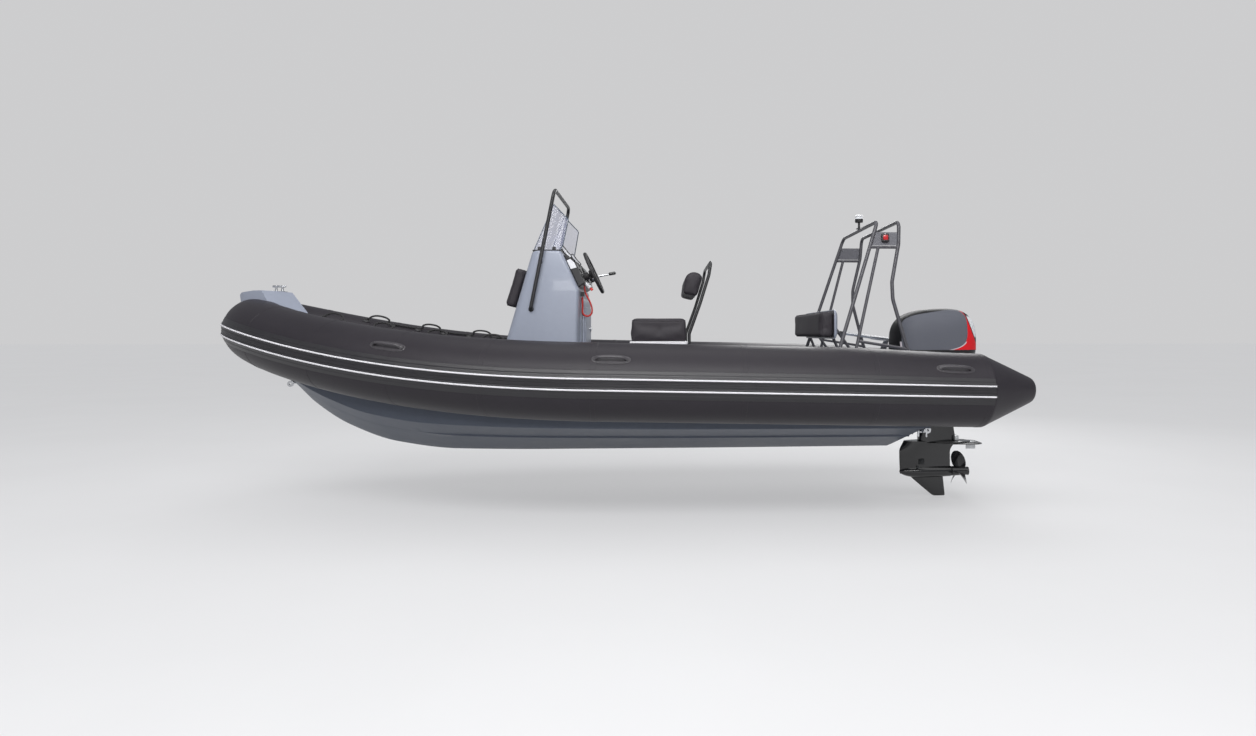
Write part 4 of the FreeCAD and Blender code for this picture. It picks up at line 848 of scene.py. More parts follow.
def make_console():
    levels = [(z, 0) for z in (100.3, 110, 500, 860, 882, 895, 908, 930, 1174)]
    levels += [(1183, 2.5), (1188, 7), (1190, 13)]
    put("console_shell", skin([console_ring(*level) for level in levels]), "console", smooth=34,
        stands_for="console")
    # flange on the deck, knee box with its door
    flange = skin([console_ring(*level) for level in ((100.3, -22), (105, -22), (107.5, -18), (109.5, -1))])
    knee = [[V(x, y, z) for x, y in outline(aft, 240, -half, half, 14, 5)]
            for z, aft, half in ((101, 170, 235), (600, 171, 235), (790, 172, 234), (822, 176, 231),
                                 (838, 186, 224), (842, 205, 214))]
    door = block(V(171.5, 0, 460), (14, 400, 620), 6)
    put("console_knee_box", [flange, skin(knee), door], "console", smooth=34)
    put("console_joints", [block(V(192, side * 235.2, 460), (5, 1.6, 700), 0.7) for side in (1, -1)],
        "rubber_seam")
    put("door_latch", revolve(((0, 24), (4, 24), (6, 20), (6, 10), (12, 9), (13, 0)), V(164.5, -150, 600), -X,
        28), "steel")


def on_plane(at, normal, x, z):
    """The point with this x and z of the plane through at."""
    p = V(x, 0, z)
    p.y = (at - p).dot(normal) / normal.y
    return p


def make_windscreen():
    dress("screen", "windscreen")
    foot, heel, top = V(546, 350, TOP_Z), V(345, 372, TOP_Z), V(401, 300, 1557)
    normal, out = (heel - foot).cross(top - foot), 3 * Y
    rear = [on_plane(foot, normal, x, z) for x, z in ((322, 1240), (285, 1436))]
    base = [foot + 4 * X, heel]
    edge = [p + out for p in (heel, *rear, top)]
    edges, seals = [], []
    for side in (1, -1):
        def turned(points):
            return [V(p.x, p.y * side, p.z) for p in points]

        edges.append(sweep(turned(bent(edge, [20, 20], 6)), 3.6, 10))
        edges.append(sweep(turned([foot + out, top + out]), 3, 10))
        seals.append(sweep(turned([p + out + 4 * Z for p in base]), 6.2, 10))
        for share in (0.22, 0.78):
            at = foot + (heel - foot) * share
            seals.append(block(V(at.x, (at.y + 6) * side, at.z + 16), (26, 10, 32), 4))
    edges.append(sweep(across([top]), 3.6, 10))
    seals.append(sweep(across([base[0] + 4 * Z]), 6.2, 10))
    put("windscreen_edges", edges, "acrylic_edge")
    put("windscreen_seals", seals, "soft_black")


def make_console_rail():
    wall, foot, head = 400.3, V(557, 426, 746), V(378, 426, 1650)
    parts = [sweep(bent(across([V(foot.x, wall, foot.z), foot, head]), [22, 60, 60, 22], 9), 14, 20)]
    tie = foot + (head - foot) * ((1100 - foot.z) / (head.z - foot.z))
    for side in (1, -1):
        for at, r in ((foot, 14), (tie, 9)):
            parts.append(revolve(((0, 0), (0, r + 6), (3, r + 6), (5, r + 4), (6, r), (20, r - 0.5), (24, 0)),
                                 V(at.x, wall * side, at.z), Y * side, 24))
    put("console_rail_tube", parts, "black_tube", smooth=50, stands_for="console_rail")


DASH_TOP, DASH_DOWN = V(335, 0, 1190), V(-135, 0, -295).normalized()
DASH_OUT = V(DASH_DOWN.z, 0, -DASH_DOWN.x)
DASH_AXES = DASH_DOWN, Y, DASH_OUT


def on_dash(down, out, y):
    return DASH_TOP + DASH_DOWN * down + DASH_OUT * out + Y * y


def dash_block(down, out, y, size, radius, segments=3):
    return block(on_dash(down, out, y), size, radius, DASH_AXES, segments)


def make_dash():
    softened("dash_panel", "dash_moulding", "black_plastic", 8, segments=4)
    down2 = (on_dash(120, 60, 0) - on_dash(30, 18, 0)).normalized()
    out2 = V(down2.z, 0, -down2.x)
    bezels, dials, marks, white = [dash_block(200, 67, -115, (135, 215, 16), 6)], [], [], []
    for y in (-220, -100, 20, 140, 250):
        at = on_dash(75, 39, y)
        bezels.append(revolve(((-2, 0), (-2, 40), (6, 40), (10, 36), (9, 34), (5, 33), (5, 0)), at, out2, 40))
        dials.append(revolve(((5.2, 0), (5.2, 32.5), (5.6, 32.5), (5.8, 0)), at, out2, 40))
        # needle, then the scale
        for turn, down, rise, size, radius in (
                (0.5 + 0.003 * y, 10, 7.5, (28, 2, 1.2), 0.4),
                *((radians(-130 + 32.5 * k), -27, 6.4, (6, 1.4, 0.8), 0.3) for k in range(9))):
            turned = Matrix.Rotation(turn, 3, out2)
            marks.append(block(at + out2 * rise + turned @ (down2 * down), size, radius,
                               (turned @ down2, turned @ Y, out2)))
    for row in (185, 225):
        for y in (205, 235, 265, 295):
            bezels.append(dash_block(row, 62.5, y, (32, 22, 6), 2))
            bezels.append(dash_block(row - 2, 66.5, y, (24, 14, 6), 2.5))
    for side in (1, -1):
        cheek, frill = (((78, 6), (78, 34), (118, 52), (158, 52), (150, 6)),
                        ((-45, 4), (-50, 22), (20, 38), (62, 52), (70, 36), (10, 12)))
        white.append(skin([[on_dash(d, o, side * (340 + h)) for d, o in cheek] for h in (-1, 4)]))
        loop = [on_dash(d, o, side * 325) for d, o in frill]
        bezels.append(sweep(bent(loop + [loop[0]], [7] * 5, 6), 4.5, 10))
        white.append(skin([[p + Y * (side * h) for p in loop] for h in (-2, 2)]))
    for y in (-50, 0, 50):
        marks.append(revolve(((0, 6), (4, 6), (5, 3), (5, 0)), on_dash(272, 60, y), DASH_OUT, 16))
    put("dash_instruments", bezels, "gloss_black", smooth=40)
    put("dash_display", dash_block(197, 75.5, -115, (105, 180, 3), 1), "display")
    put("dial_faces", dials, "display")
    put("dash_marks", marks, "white_lens")
    put("dash_side_plates", white, "white")
    # key switch under the edge of the dash
    at, axis = V(160, 250, 948), V(-0.72, 0, -0.69).normalized()
    put("key_switch", revolve(((-10, 13), (28, 13), (32, 16), (44, 16), (46, 0)), at, axis, 24), "white")
    put("key_tag", block(at + axis * 58, (26, 10, 20), 4, (axis, Y, axis.cross(Y))), "red_plastic")
    # compass on the console top
    put("compass", revolve(((0, 0), (0, 52), (12, 52), (20, 46), (24, 40), (40, 34), (52, 22), (57, 0)),
                           V(395, 0, TOP_Z), Z, 40), "gloss_black", smooth=40)
    dress("soft_black", "lanyard_sockets")


WHEEL_AT, WHEEL_TILT = V(112, 120, 1044), radians(24.7)
WHEEL_AXIS = V(-cos(WHEEL_TILT), 0, sin(WHEEL_TILT))


def make_helm():
    softened("steering_column", "column_boot", "soft_black", 4)
    u, n = Y.cross(WHEEL_AXIS), WHEEL_AXIS
    circle = [WHEEL_AT + (u * cos(a) + Y * sin(a)) * 165 for a in turns(96) + [2 * pi]]
    # the rim has 24 finger grips
    parts = [sweep(circle, lambda t: 13.2 + 0.6 * cos(2 * pi * 24 * t), 16, normal=n)]
    for spoke in range(3):
        a = radians(120 * spoke + 90)
        along = u * cos(a) + Y * sin(a)
        wide = n.cross(along)
        # distance from the hub, half width, height and half thickness
        parts.append(skin([[WHEEL_AT + along * r + wide * (half * cos(b)) + n * (h + thick * sin(b))
                            for b in turns(16)]
                           for r, half, h, thick in ((24, 20, -20, 5), (50, 16, -13, 4.5), (100, 12, -9, 4),
                                                     (140, 13, -5, 4.5), (162, 19, -1, 5))]))
    parts.append(revolve(((-62, 0), (-62, 13.9), (-36, 13.9), (-34, 30), (-28, 35), (-10, 36), (-2, 31),
        (0, 26), (1, 0)), WHEEL_AT, n, 40))
    put("wheel_rim", parts, "soft_black", "helm_wheel", 45, "steering_wheel")
    put("wheel_cap", revolve(((0, 23), (2.2, 22), (3, 18), (3, 0)), WHEEL_AT, n, 36), "gloss_black",
        "helm_wheel")
    base = on_dash(215, 60.6, -280)
    hub = base + DASH_OUT * 40
    tip = hub + V(-125, 42, 25)
    reach = (tip - hub - Y * 42).normalized()
    grip = block(tip + reach * 40 + Y * 4, (62, 58, 26), 12, (reach, Y, reach.cross(Y)), 5)
    put("throttle_box", [block(base + DASH_OUT * 27.5, (70, 60, 55), 10, DASH_AXES, 4),
                         block(base + DASH_OUT * 4, (86, 74, 8), 3, DASH_AXES), grip],
        "gloss_black", smooth=40, stands_for="throttle")
    line = [hub + Y * 42, hub + (tip - hub) * 0.35 + Y * 28, hub + (tip - hub) * 0.7 + Y * 13,
        tip + reach * 20]
    put("throttle_lever", [sweep(curve_through(line, 5), lambda t: 10.5 - 3 * t, 16),
                           revolve(((0, 23.5), (20, 23.5), (23, 20), (24, 0)), hub + Y * 30, Y, 36)],
        "steel", smooth=45)


make_console()
make_windscreen()
make_console_rail()
make_dash()
make_helm()


# ---------------------------------------------------------------- upholstery
VOXEL = 0.009                               # of a pad's mesh, in metres
CLOTH_FRAMES = 20


def cad_box(node):
    return [V(*corner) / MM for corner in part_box(node)]


def evaluated(ob):
    """The mesh that the object's modifiers make; they are then taken off."""
    mesh = bpy.data.meshes.new_from_object(ob.evaluated_get(bpy.context.evaluated_depsgraph_get()))
    ob.modifiers.clear()
    return mesh


def blow_up(ob, held):
    """Where a short cloth simulation under pressure takes the object's points."""
    if held:
        ob.vertex_groups.new(name="held").add(held, 1.0, "REPLACE")
    cloth = ob.modifiers.new("cloth", "CLOTH")
    settings = cloth.settings
    settings.quality = 5
    settings.use_pressure = True
    settings.uniform_pressure_force = 4.0
    settings.effector_weights.gravity = 0.0
    settings.tension_stiffness = settings.compression_stiffness = 8.0
    if held:
        settings.vertex_group_mass = "held"
    cloth.point_cache.frame_start, cloth.point_cache.frame_end = 1, CLOTH_FRAMES
    for step in range(1, CLOTH_FRAMES + 1):
        scene.frame_set(step)
    moved = [v.co.copy() for v in evaluated(ob).vertices]
    scene.frame_set(1)
    ob.vertex_groups.clear()
    return moved


def swollen(name, part, cap, node, body="boat", held=None):
    """Pad blown up from a slightly smaller shape by no more than cap; held says which points stay."""
    def stays(v):
        return held is not None and held(v.co / MM)

    ob = put(name, part, "vinyl", body, 180, node)
    remesh = ob.modifiers.new("remesh", "REMESH")
    remesh.mode, remesh.voxel_size = "VOXEL", VOXEL
    mesh = ob.data = evaluated(ob)
    bm = bmesh.new()
    bm.from_mesh(mesh)
    bm.normal_update()
    moved = blow_up(ob, [v.index for v in mesh.vertices if stays(v)])
    for v, to in zip(bm.verts, moved):
        shift = to - v.co
        v.co += shift.normalized() * min(shift.length, cap * MM)
    for _ in range(4):
        bmesh.ops.smooth_vert(bm, verts=[v for v in bm.verts if not stays(v)], factor=0.5, use_axis_x=True,
                              use_axis_y=True, use_axis_z=True)
    bm.to_mesh(mesh)
    bm.free()
    mesh.materials.clear()
    mesh.materials.append(MAT["vinyl"])
    mesh.shade_smooth()
    return BVHTree.FromPolygons([v.co / MM for v in mesh.vertices],
                                [tuple(p.vertices) for p in mesh.polygons])


def laid_on(tree, path, lift):
    """The path moved to the nearest place on the pad."""
    return [at + normal * lift for at, normal, *_ in (tree.find_nearest(p) for p in path)]


def frame_ring(centre, half_u, half_v, u, v, radius):
    """Rounded rectangle in a plane."""
    return [centre + u * a + v * b for a, b in outline(-half_u, half_u, -half_v, half_v, radius, 8)]


def dense(points, gap=12):
    out = []
    for a, b in zip(points, points[1:]):
        count = max(1, int((b - a).length / gap))
        out += [a + (b - a) * (k / count) for k in range(count)]
    return out + [points[-1]]


def piping(name, tree, loops, body="boat"):
    put(name, [sweep(laid_on(tree, dense(loop + loop[:1]), 0.8), 3, 8) for loop in loops], "vinyl",
        body, 60)


def make_flat_cushion(node, body, cap):
    """Seat cushion: level underneath, crowned on top, piped round its upper and lower edges."""
    low, high = cad_box(node)
    grow, name = 0.6 * cap, node + "_pad"
    size = high - low - V(2 * grow, 2 * grow, grow + 1)
    middle = (low + high) / 2
    tree = swollen(name, block(V(middle.x, middle.y, low.z + 1 + size.z / 2), size, 22, segments=4), cap,
        node, body, lambda p: p.z < low.z + 3.5)
    piping(name + "_piping", tree, [
        frame_ring(V(middle.x, middle.y, z), size.x / 2 + wider, size.y / 2 + wider, X, Y, 30)
        for z, wider in ((high.z - 10, -4), (low.z + 16, 4))], body)
    return tree, low, high


def cushion_seams(name, body, tree, low, high, half):
    lines = [[V(x, y, high.z + 10) for x in np.linspace(low.x + 30, high.x - 30, 41)] for y in (-half, half)]
    put(name, [sweep(laid_on(tree, line, -0.4), 1.6, 6) for line in lines], "thread", body)


def make_seat_cushions():
    tree, low, high = make_flat_cushion("helm_cushion", "helm_seat_lid", 9)
    put("helm_cushion_channel", block(V((low.x + high.x) / 2, 0, low.z + 5),
                                      (high.x - low.x + 6, high.y - low.y + 6, 20), 6),
        "white_rubber", "helm_seat_lid")
    cushion_seams("helm_cushion_seams", "helm_seat_lid", tree, low, high, 140)
    make_flat_cushion("front_cushion", "front_seat_lid", 8)
    tree, low, high = make_flat_cushion("stern_cushion", "stern_bench_lid", 8)
    cushion_seams("stern_cushion_seams", "stern_bench_lid", tree, low, high, 200)


def make_front_backrest():
    """Pad on the front of the console, on four short feet."""
    up = V(-289, 0, 1000).normalized()
    out, foot = V(up.z, 0, -up.x), V(console_ends(900)[0], 0, 900)
    tree = swollen("front_backrest_pad", block(foot + out * 68, (76, 464, 316), 26, (out, Y, up), 4), 7,
                   "front_backrest", held=lambda p: (p - foot).dot(out) < 32.5)
    piping("front_backrest_piping", tree, [frame_ring(foot + out * d, 232, 160, Y, up, 28) for d in (44, 98)])
    put("front_backrest_feet", [revolve(((0, 0), (0, 20), (4, 20), (6, 14), (34, 14), (34, 0)),
                                        V(console_ends(z)[0], y, z) + out * 0.4, out, 24)
                                for y in (-150, 150) for z in (806, 998)], "black_plastic")


def make_helm_backrest():
    """Roll carried in a hoop behind the helm."""
    middle = V(-672, 0, 940)
    part = mesh_part(clean_copy("helm_bolster", 0.5, 16, 3), lambda p: middle + (p / MM - middle) * 0.975)
    tree = swollen("helm_bolster_pad", part, 7, "helm_bolster")
    piping("helm_bolster_piping", tree, [[V(x, y, z) for x, z in ((-742, 1000), (-735, 1024), (-690, 1034),
        (-630, 1010), (-612, 975), (-598, 872), (-640, 862), (-695, 850))] for y in (-352, 352)])
    put("helm_bolster_straps", [
        sweep(laid_on(tree, dense([V(x, y, z) for x, z in ((-728, 965), (-718, 905), (-700, 842), (-650, 846),
                                                           (-606, 868), (-600, 905))]), 1.6), 1.6, 8, 10, Y)
        for y in (-210, 210)], "webbing", smooth=50)
    foot = -638.8
    leg = [V(foot - dx, 395, z) for dx, z in ((0, 250), (0, 560), (83, 790), (151, 1010), (167, 1110))]
    bends = [70, 120, 80, 45]
    parts = [sweep(bent(across(leg), bends + bends[::-1], 9), 12.5, 20)]
    parts += [block(V(foot + 4, y, z), (20, 50, 30), 6) for y in (395, -395) for z in (285, 430)]
    put("helm_hoop", parts, "black_tube", smooth=50, stands_for="helm_backrest_frame")


def make_stern_backrest():
    """Charcoal pad in a pale shell on bent posts."""
    low, high = cad_box("stern_backrest")
    middle, size = (low + high) / 2, high - low
    tree = swollen("stern_backrest_pad", block(middle, size - V(10, 14, 14), 26, segments=4), 8,
        "stern_backrest", held=lambda p: p.x < low.x + 7)
    piping("stern_backrest_piping", tree, [frame_ring(V(x, 0, middle.z), size.y / 2 - 4, size.z / 2 - 4, Y, Z,
        30) for x in (low.x + 20, high.x - 14)])
    softened("stern_backrest_frame", "stern_backrest_posts", "arch", 3, sharp=50)
    put("stern_backrest_shell", skin([frame_ring(V(x, 0, 631.5), 532 + grow, 100 + grow, Y, Z, 35)
        for x, grow in ((-1728.5, 10), (-1733, 11), (-1744, 6), (-1756, -12), (-1758, -50))]), "console",
        smooth=50)


def make_lid_fittings():
    """Hinges and latches of the seats and the bow hatch."""
    leaves, pins, latches = [], [], []
    for x, z, ys, across_joint in ((-182, 478.5, (-280, 280), False), (1251.5, 398, (-180, 180), False),
                                   (-1148.5, 338, (-420, 0, 420), False), (2142.5, 438.5, (-140, 140), True)):
        dx, dz = (23, -8) if across_joint else (3.5, -13.5)
        for y in ys:
            pins.append(revolve(((0, 0), (0, 4.5), (55, 4.5), (55, 0)), V(x + dx, y - 27.5, z + dz), Y, 16))
            leaves.append(block(V(x + 44, y, z - 7.5), (40, 55, 2.2), 0.9) if across_joint else
                          block(V(x + 2.2, y, z - 36), (2.2, 55, 40), 0.9))
    put("lid_hinges", leaves + pins, "steel", smooth=40)
    for x, z, y in ((-627.5, 440, 0), (-1591.5, 300, 250), (-1591.5, 300, -250)):
        latches += [block(V(x - 3, y, z), (6, 45, 60), 2), block(V(x - 8, y, z + 4), (6, 30, 34), 2.5)]
    put("lid_latches", latches, "soft_black")


make_seat_cushions()
make_front_backrest()
make_helm_backrest()
make_stern_backrest()
make_lid_fittings()


# ---------------------------------------------------------------- stern arch and its lights
DECK_TOP = 300.3                            # just clear of the stern moulding
FRONT_LEG = [V(-1700, 620, 285), V(-2065, 512, 1414)]
REAR_LEG = [V(*p) for p in ((-2332, 600, 285), (-2262, 588, 470), (-2165, 570, 820), (-2162, 560, 950),
                            (-2222, 530, 1240), (-2231, 512, 1414))]


def at_height(leg, z):
    for low, high in zip(leg, leg[1:]):
        if low.z <= z <= high.z:
            return low + (high - low) * ((z - low.z) / (high.z - low.z))


def foot_flange(at, radius=30):
    return revolve(((0, 0), (0, radius), (4, radius), (5.5, radius - 3), (7, 16.5), (22, 15.5), (22, 0)),
                   V(at.x, at.y, DECK_TOP), Z, 28)


def make_arch():
    for name, leg, bends, node in (("arch_front_hoop", FRONT_LEG, [], "arch_front"),
                                   ("arch_rear_hoop", REAR_LEG, [150] * 4, "arch_rear")):
        half = [at_height(leg, DECK_TOP)] + leg[1:]
        put(name, [sweep(bent(across(half), bends + [60, 60] + bends, 10), 14, 20),
            *both(foot_flange(half[0]))], "arch", smooth=50, stands_for=node)
    front, rear = at_height(FRONT_LEG, 1215), at_height(REAR_LEG, 1215)
    top, foot = front + (rear - front) * 0.30, V(-1842, 604, 285)
    foot, low = (foot + (top - foot) * ((z - foot.z) / (top.z - foot.z)) for z in (DECK_TOP, 505))
    rods = [sweep([front, rear], 11), sweep([foot, top], 12), sweep([low, at_height(REAR_LEG, 445)], 11),
            foot_flange(foot, 27)]
    put("arch_struts", both(join(rods)), "arch", smooth=50, stands_for="arch_braces")
    softened("light_plates", "side_light_plates", "plate", 1.2)


def make_arch_lights():
    # the plates lie in the plane of the legs
    low_front, low_rear = at_height(FRONT_LEG, 1229), at_height(REAR_LEG, 1229)
    out = (low_rear - low_front).cross(at_height(REAR_LEG, 1330) - low_front).normalized()
    out = out if out.y > 0 else -out
    seat = on_plane(low_front, out, -2118, 1285) + Y * 4 + out * 0.3
    along = (X - out * out.x).normalized()
    axes = along, out.cross(along), out
    shell = block(seat + out * 9, (58, 66, 18), 8, axes, 4)
    hood = block(seat + out * 18.5 + axes[1] * 26, (48, 12, 14), 5, axes)
    glass = block(seat + out * 18.5, (38, 40, 14), 6.5, axes, 4)
    screw = revolve(((0, 2.8), (1.2, 2.6), (1.6, 0)), seat - axes[1] * 27 + out * 18, out, 12)
    lamps = (("nav_light_port", "red_lens"), ("nav_light_starboard", "green_lens"))
    for side, (node, lens) in enumerate(lamps):
        put(node + "_housing", both(join([shell, hood]))[side], "black_plastic",
            stands_for=node)
        put(node + "_lens", both(glass)[side], lens)
        put(node + "_screw", both(screw)[side], "steel")
    stem = ((0, 0), (0, 24), (5, 24), (8, 18), (12, 9.5), (58, 9), (60, 0))
    ring = ((55, 0), (55, 30), (60, 33), (82, 32.5), (84, 0))
    lens = ((82, 0), (82, 30), (92, 30.8), (102, 30), (104, 0))
    cap = ((104, 0), (104, 33.5), (109, 33), (114, 26), (117.5, 14), (118, 0))
    stem, ring, lens, cap = (revolve(profile, V(-2065, 0, 1428.3), Z, sides)
                             for profile, sides in ((stem, 32), (ring, 36), (lens, 36), (cap, 36)))
    put("all_round_stem", [stem, ring], "black_plastic", smooth=40,
        stands_for="all_round_light")
    put("all_round_lens", [lens, cap], "white_lens", smooth=40)


def make_ladder():
    middle, half = Y * -430, Y * 95
    hinge, tip = V(-2472, 0, 505) + middle, V(-1990, 0, 572) + middle
    along = (tip - hinge).normalized()
    axes = along, Y, along.cross(Y)
    frame_parts, treads, caps = [], [], []
    for rail in (-half, half):
        frame_parts.append(sweep([hinge + rail, tip + rail], 11))
        caps.append(revolve(((-28, 0), (-28, 12.2), (1, 12.5), (4, 10), (5, 0)), tip + rail, along, 20))
    rungs = [hinge + (tip - hinge) * share for share in (0.32, 0.61, 0.90)]
    frame_parts += [sweep([at - half, at + half], 9, 16) for at in rungs]
    put("ladder_step", block(rungs[0] - along * 35, (105, 150, 34), 9, axes, 4), "white_rubber",
        "ladder", 40)
    for at in rungs[1:]:
        treads.append(block(at, (44, 150, 21), 8, axes, 4))
        treads += [block(at + Y * (15 * k) - axes[2] * 10.5, (36, 4, 3), 1, axes, 2) for k in range(-4, 5)]
    frame_parts.append(revolve(((-112, 0), (-112, 8.3), (-112, 14), (-110, 16), (110, 16), (112, 14),
        (112, 8.3), (112, 0)), hinge, Y, 28))
    put("ladder_frame", frame_parts, "steel", "ladder", 45, "boarding_ladder")
    put("ladder_treads", treads + caps, "soft_black", "ladder", 40)


def make_stern_details():
    dress("steel", "ladder_bracket", "bow_eye", "stern_eyes", "mooring_bitt")
    steel, lean = [], V(-cos(RAKE), 0, -sin(RAKE))
    for side in (1, -1):
        # drain plug in the transom, screws of the mooring bitt
        steel.append(revolve(((0, 16), (6, 16), (8, 12), (8, 0)),
                             V(transom_x(-150), 610 * side, -150) + lean * 0.5, lean, 24))
        steel += [revolve(((0, 4.5), (2, 4), (3, 0)), V(x, 21 * side, 897.5), Z, 12) for x in (2574, 2646)]
    steel += [revolve(((0, 0), (0, 12.5), (3, 12.5), (6, 9.5), (34, 9.3), (38, 10.5), (44.5, 10.5),
        (44.5, 0)), V(x, 0, 897.2), Z, 24) for x in (2586, 2634)]
    steel += [revolve(((0, 8.3), (46, 8.4), (50, 7), (51.5, 0)), V(2610, 0, 936.3), X * end, 20)
        for end in (-1, 1)]
    put("small_stainless", steel, "steel", smooth=40)
    # fuel filler and battery switch on the stern moulding
    put("stern_caps", [revolve(((0, 30), (3, 30), (5, 26), (5, 0)), V(-1760, 400, 300.1), Z, 28),
                       revolve(((0, 26), (3, 26), (14, 18), (15, 0)), V(-1760, -400, 300.1), Z, 28)],
        "soft_black", smooth=40)


make_arch()
make_arch_lights()
make_ladder()
make_stern_details()


# ---------------------------------------------------------------- outboard
STEER, SHAFT_Z = -2500, -586                # steering axis and propeller shaft


def teardrop(z, front, back, half, count=20):
    """Level streamlined section, nose forward."""
    side = []
    for k in range(count + 1):
        share = (k / count) ** 1.6
        wide = sqrt(share / 0.30) if share < 0.30 else 1 - 0.82 * ((share - 0.30) / 0.70) ** 1.5
        side.append(V(STEER + front + (back - front) * share, half * wide, z))
    return side + flip(side[:0:-1])


def leg_rings(rows, levels):
    return [teardrop(z, *blend_between(rows, z)) for z in levels]


COWL_X, COWL_FOOT = -180, 430               # middle of the engine cover from the axis, and its lower edge
# x, z of the top of the engine cover
COWL_TOP = ((-525, 735), (-470, 757), (-400, 768), (-290, 770), (-140, 765), (50, 742), (165, 712))
COWL_PLAN = [(345 * rounded_wave(cos(a), 2 / 3.4), 225 * rounded_wave(sin(a), 2 / 2.7)) for a in turns(64)]


def cowl_ring(z, scale_x, scale_y):
    return [V(STEER + COWL_X + x * scale_x, y * scale_y, z) for x, y in COWL_PLAN]


def cowl_paint(n, spot, base):
    """Grey side panel in black, with red and white towards the back; in metres."""
    x, _, z = n.add("SeparateXYZ", Vector=spot).outputs
    side, aft = n.math("ADD", x, 2.637), n.times(x, -1.0)
    rise = n.math("ADD", n.math("SUBTRACT", z, 0.576), n.times(side, 0.15))
    far = n.math("ADD", *(n.power(n.math("ABSOLUTE", n.math("DIVIDE", at, reach)), 4.2)
                          for at, reach in ((side, 0.262), (rise, 0.162))))
    drop = n.math("SUBTRACT", 0.75, z)
    back = n.math("MULTIPLY_ADD", n.power(n.math("MAXIMUM", drop, 0.0), 3.0), 1.9,
                  n.math("MULTIPLY_ADD", drop, 0.28, 2.885))
    past = n.math("SUBTRACT", aft, back)
    red = n.times(n.times(n.step(aft, 2.765, 2.770), n.under(past, -0.003, 0.003)), n.under(z, 0.742, 0.750))
    front = n.times(n.step(side, 0.135, 0.140), n.under(side, 0.205, 0.210))
    front = n.times(n.under(z, 0.455, 0.459), front)
    white = n.times(n.step(past, 0.005, 0.010), n.times(n.step(z, 0.520, 0.545), n.under(z, 0.690, 0.715)))
    line = n.times(n.under(far, 1.16, 1.19), n.under(z, 0.49, 0.50))
    trim = (0.011, 0.011, 0.012, 1)
    for share, colour in ((n.math("MAXIMUM", red, front), (0.64, 0.016, 0.022, 1)),
            (white, (0.70, 0.72, 0.74, 1)), (line, (0.55, 0.50, 0.53, 1))):
        trim = n.mix(share, trim, colour)
    return n.mix(n.step(far, 0.985, 1.015), base, trim)


def make_cowl():
    MAT["cowl"] = surface("cowl_paint", (0.115, 0.120, 0.142), 0.50, "noise 4 .2", 0.02, specular=0.16,
        vary=0.03, paint=cowl_paint)
    rings, narrow_x = [], -185
    for s in (0, 0.12, 0.25, 0.38, 0.50, 0.60, 0.68, 0.75, 0.81, 0.86, 0.90, 0.935, 0.96, 0.98, 0.993, 1):
        shrink = (1 - s ** 4.2) ** (1 / 3.4)
        ring = []
        for x, y in COWL_PLAN:
            x = narrow_x + (COWL_X + x - narrow_x) * shrink
            ring.append(V(STEER + x, y * shrink, COWL_FOOT + (blend_between(COWL_TOP, x)[0] - COWL_FOOT) * s))
        rings.append(ring)
    put("engine_cover", skin(rings), "cowl", "outboard", 60, "cowl")
    pan = [cowl_ring(*row) for row in ((429.7, 0.985, 0.975), (424, 0.993, 0.985), (385, 0.990, 0.975),
        (365, 0.970, 0.95), (335, 0.900, 0.84), (308, 0.815, 0.74), (295, 0.760, 0.67), (292, 0.735, 0.64))]
    neck = leg_rings(((262, -60, -380, 85), (300, -55, -390, 95)), (262.3, 275, 293))
    put("engine_pan", [skin(pan), skin(neck)], "gloss_black", "outboard", 50, "lower_cowl")
    put("cover_seal", skin([cowl_ring(z, s, s) for z, s in ((426, 0.985), (426.8, 0.997), (432.5, 0.997),
                                                             (433.3, 0.985))]),
        "rubber_seam", "outboard")
    dress("powerhead", "powerhead")


def plate_part(half_plan, z0, z1, edge=3):
    """Plate with a rolled edge from one half of its plan."""
    line = bent([V(*p) for p in half_plan], [30] * (len(half_plan) - 2), 6)
    loop = line + flip([p for p in reversed(line) if p.y > 0.1])
    middle = sum(p.x for p in loop) / len(loop)
    levels = (z0, edge), (z0 + edge * 0.4, 0.6), (z1 - edge * 0.4, 0.6), (z1, edge)
    return skin([[V(STEER + middle + (p.x - middle) * (1 - inset / 200), p.y * (1 - inset / 100), z)
                  for p in loop] for z, inset in levels])


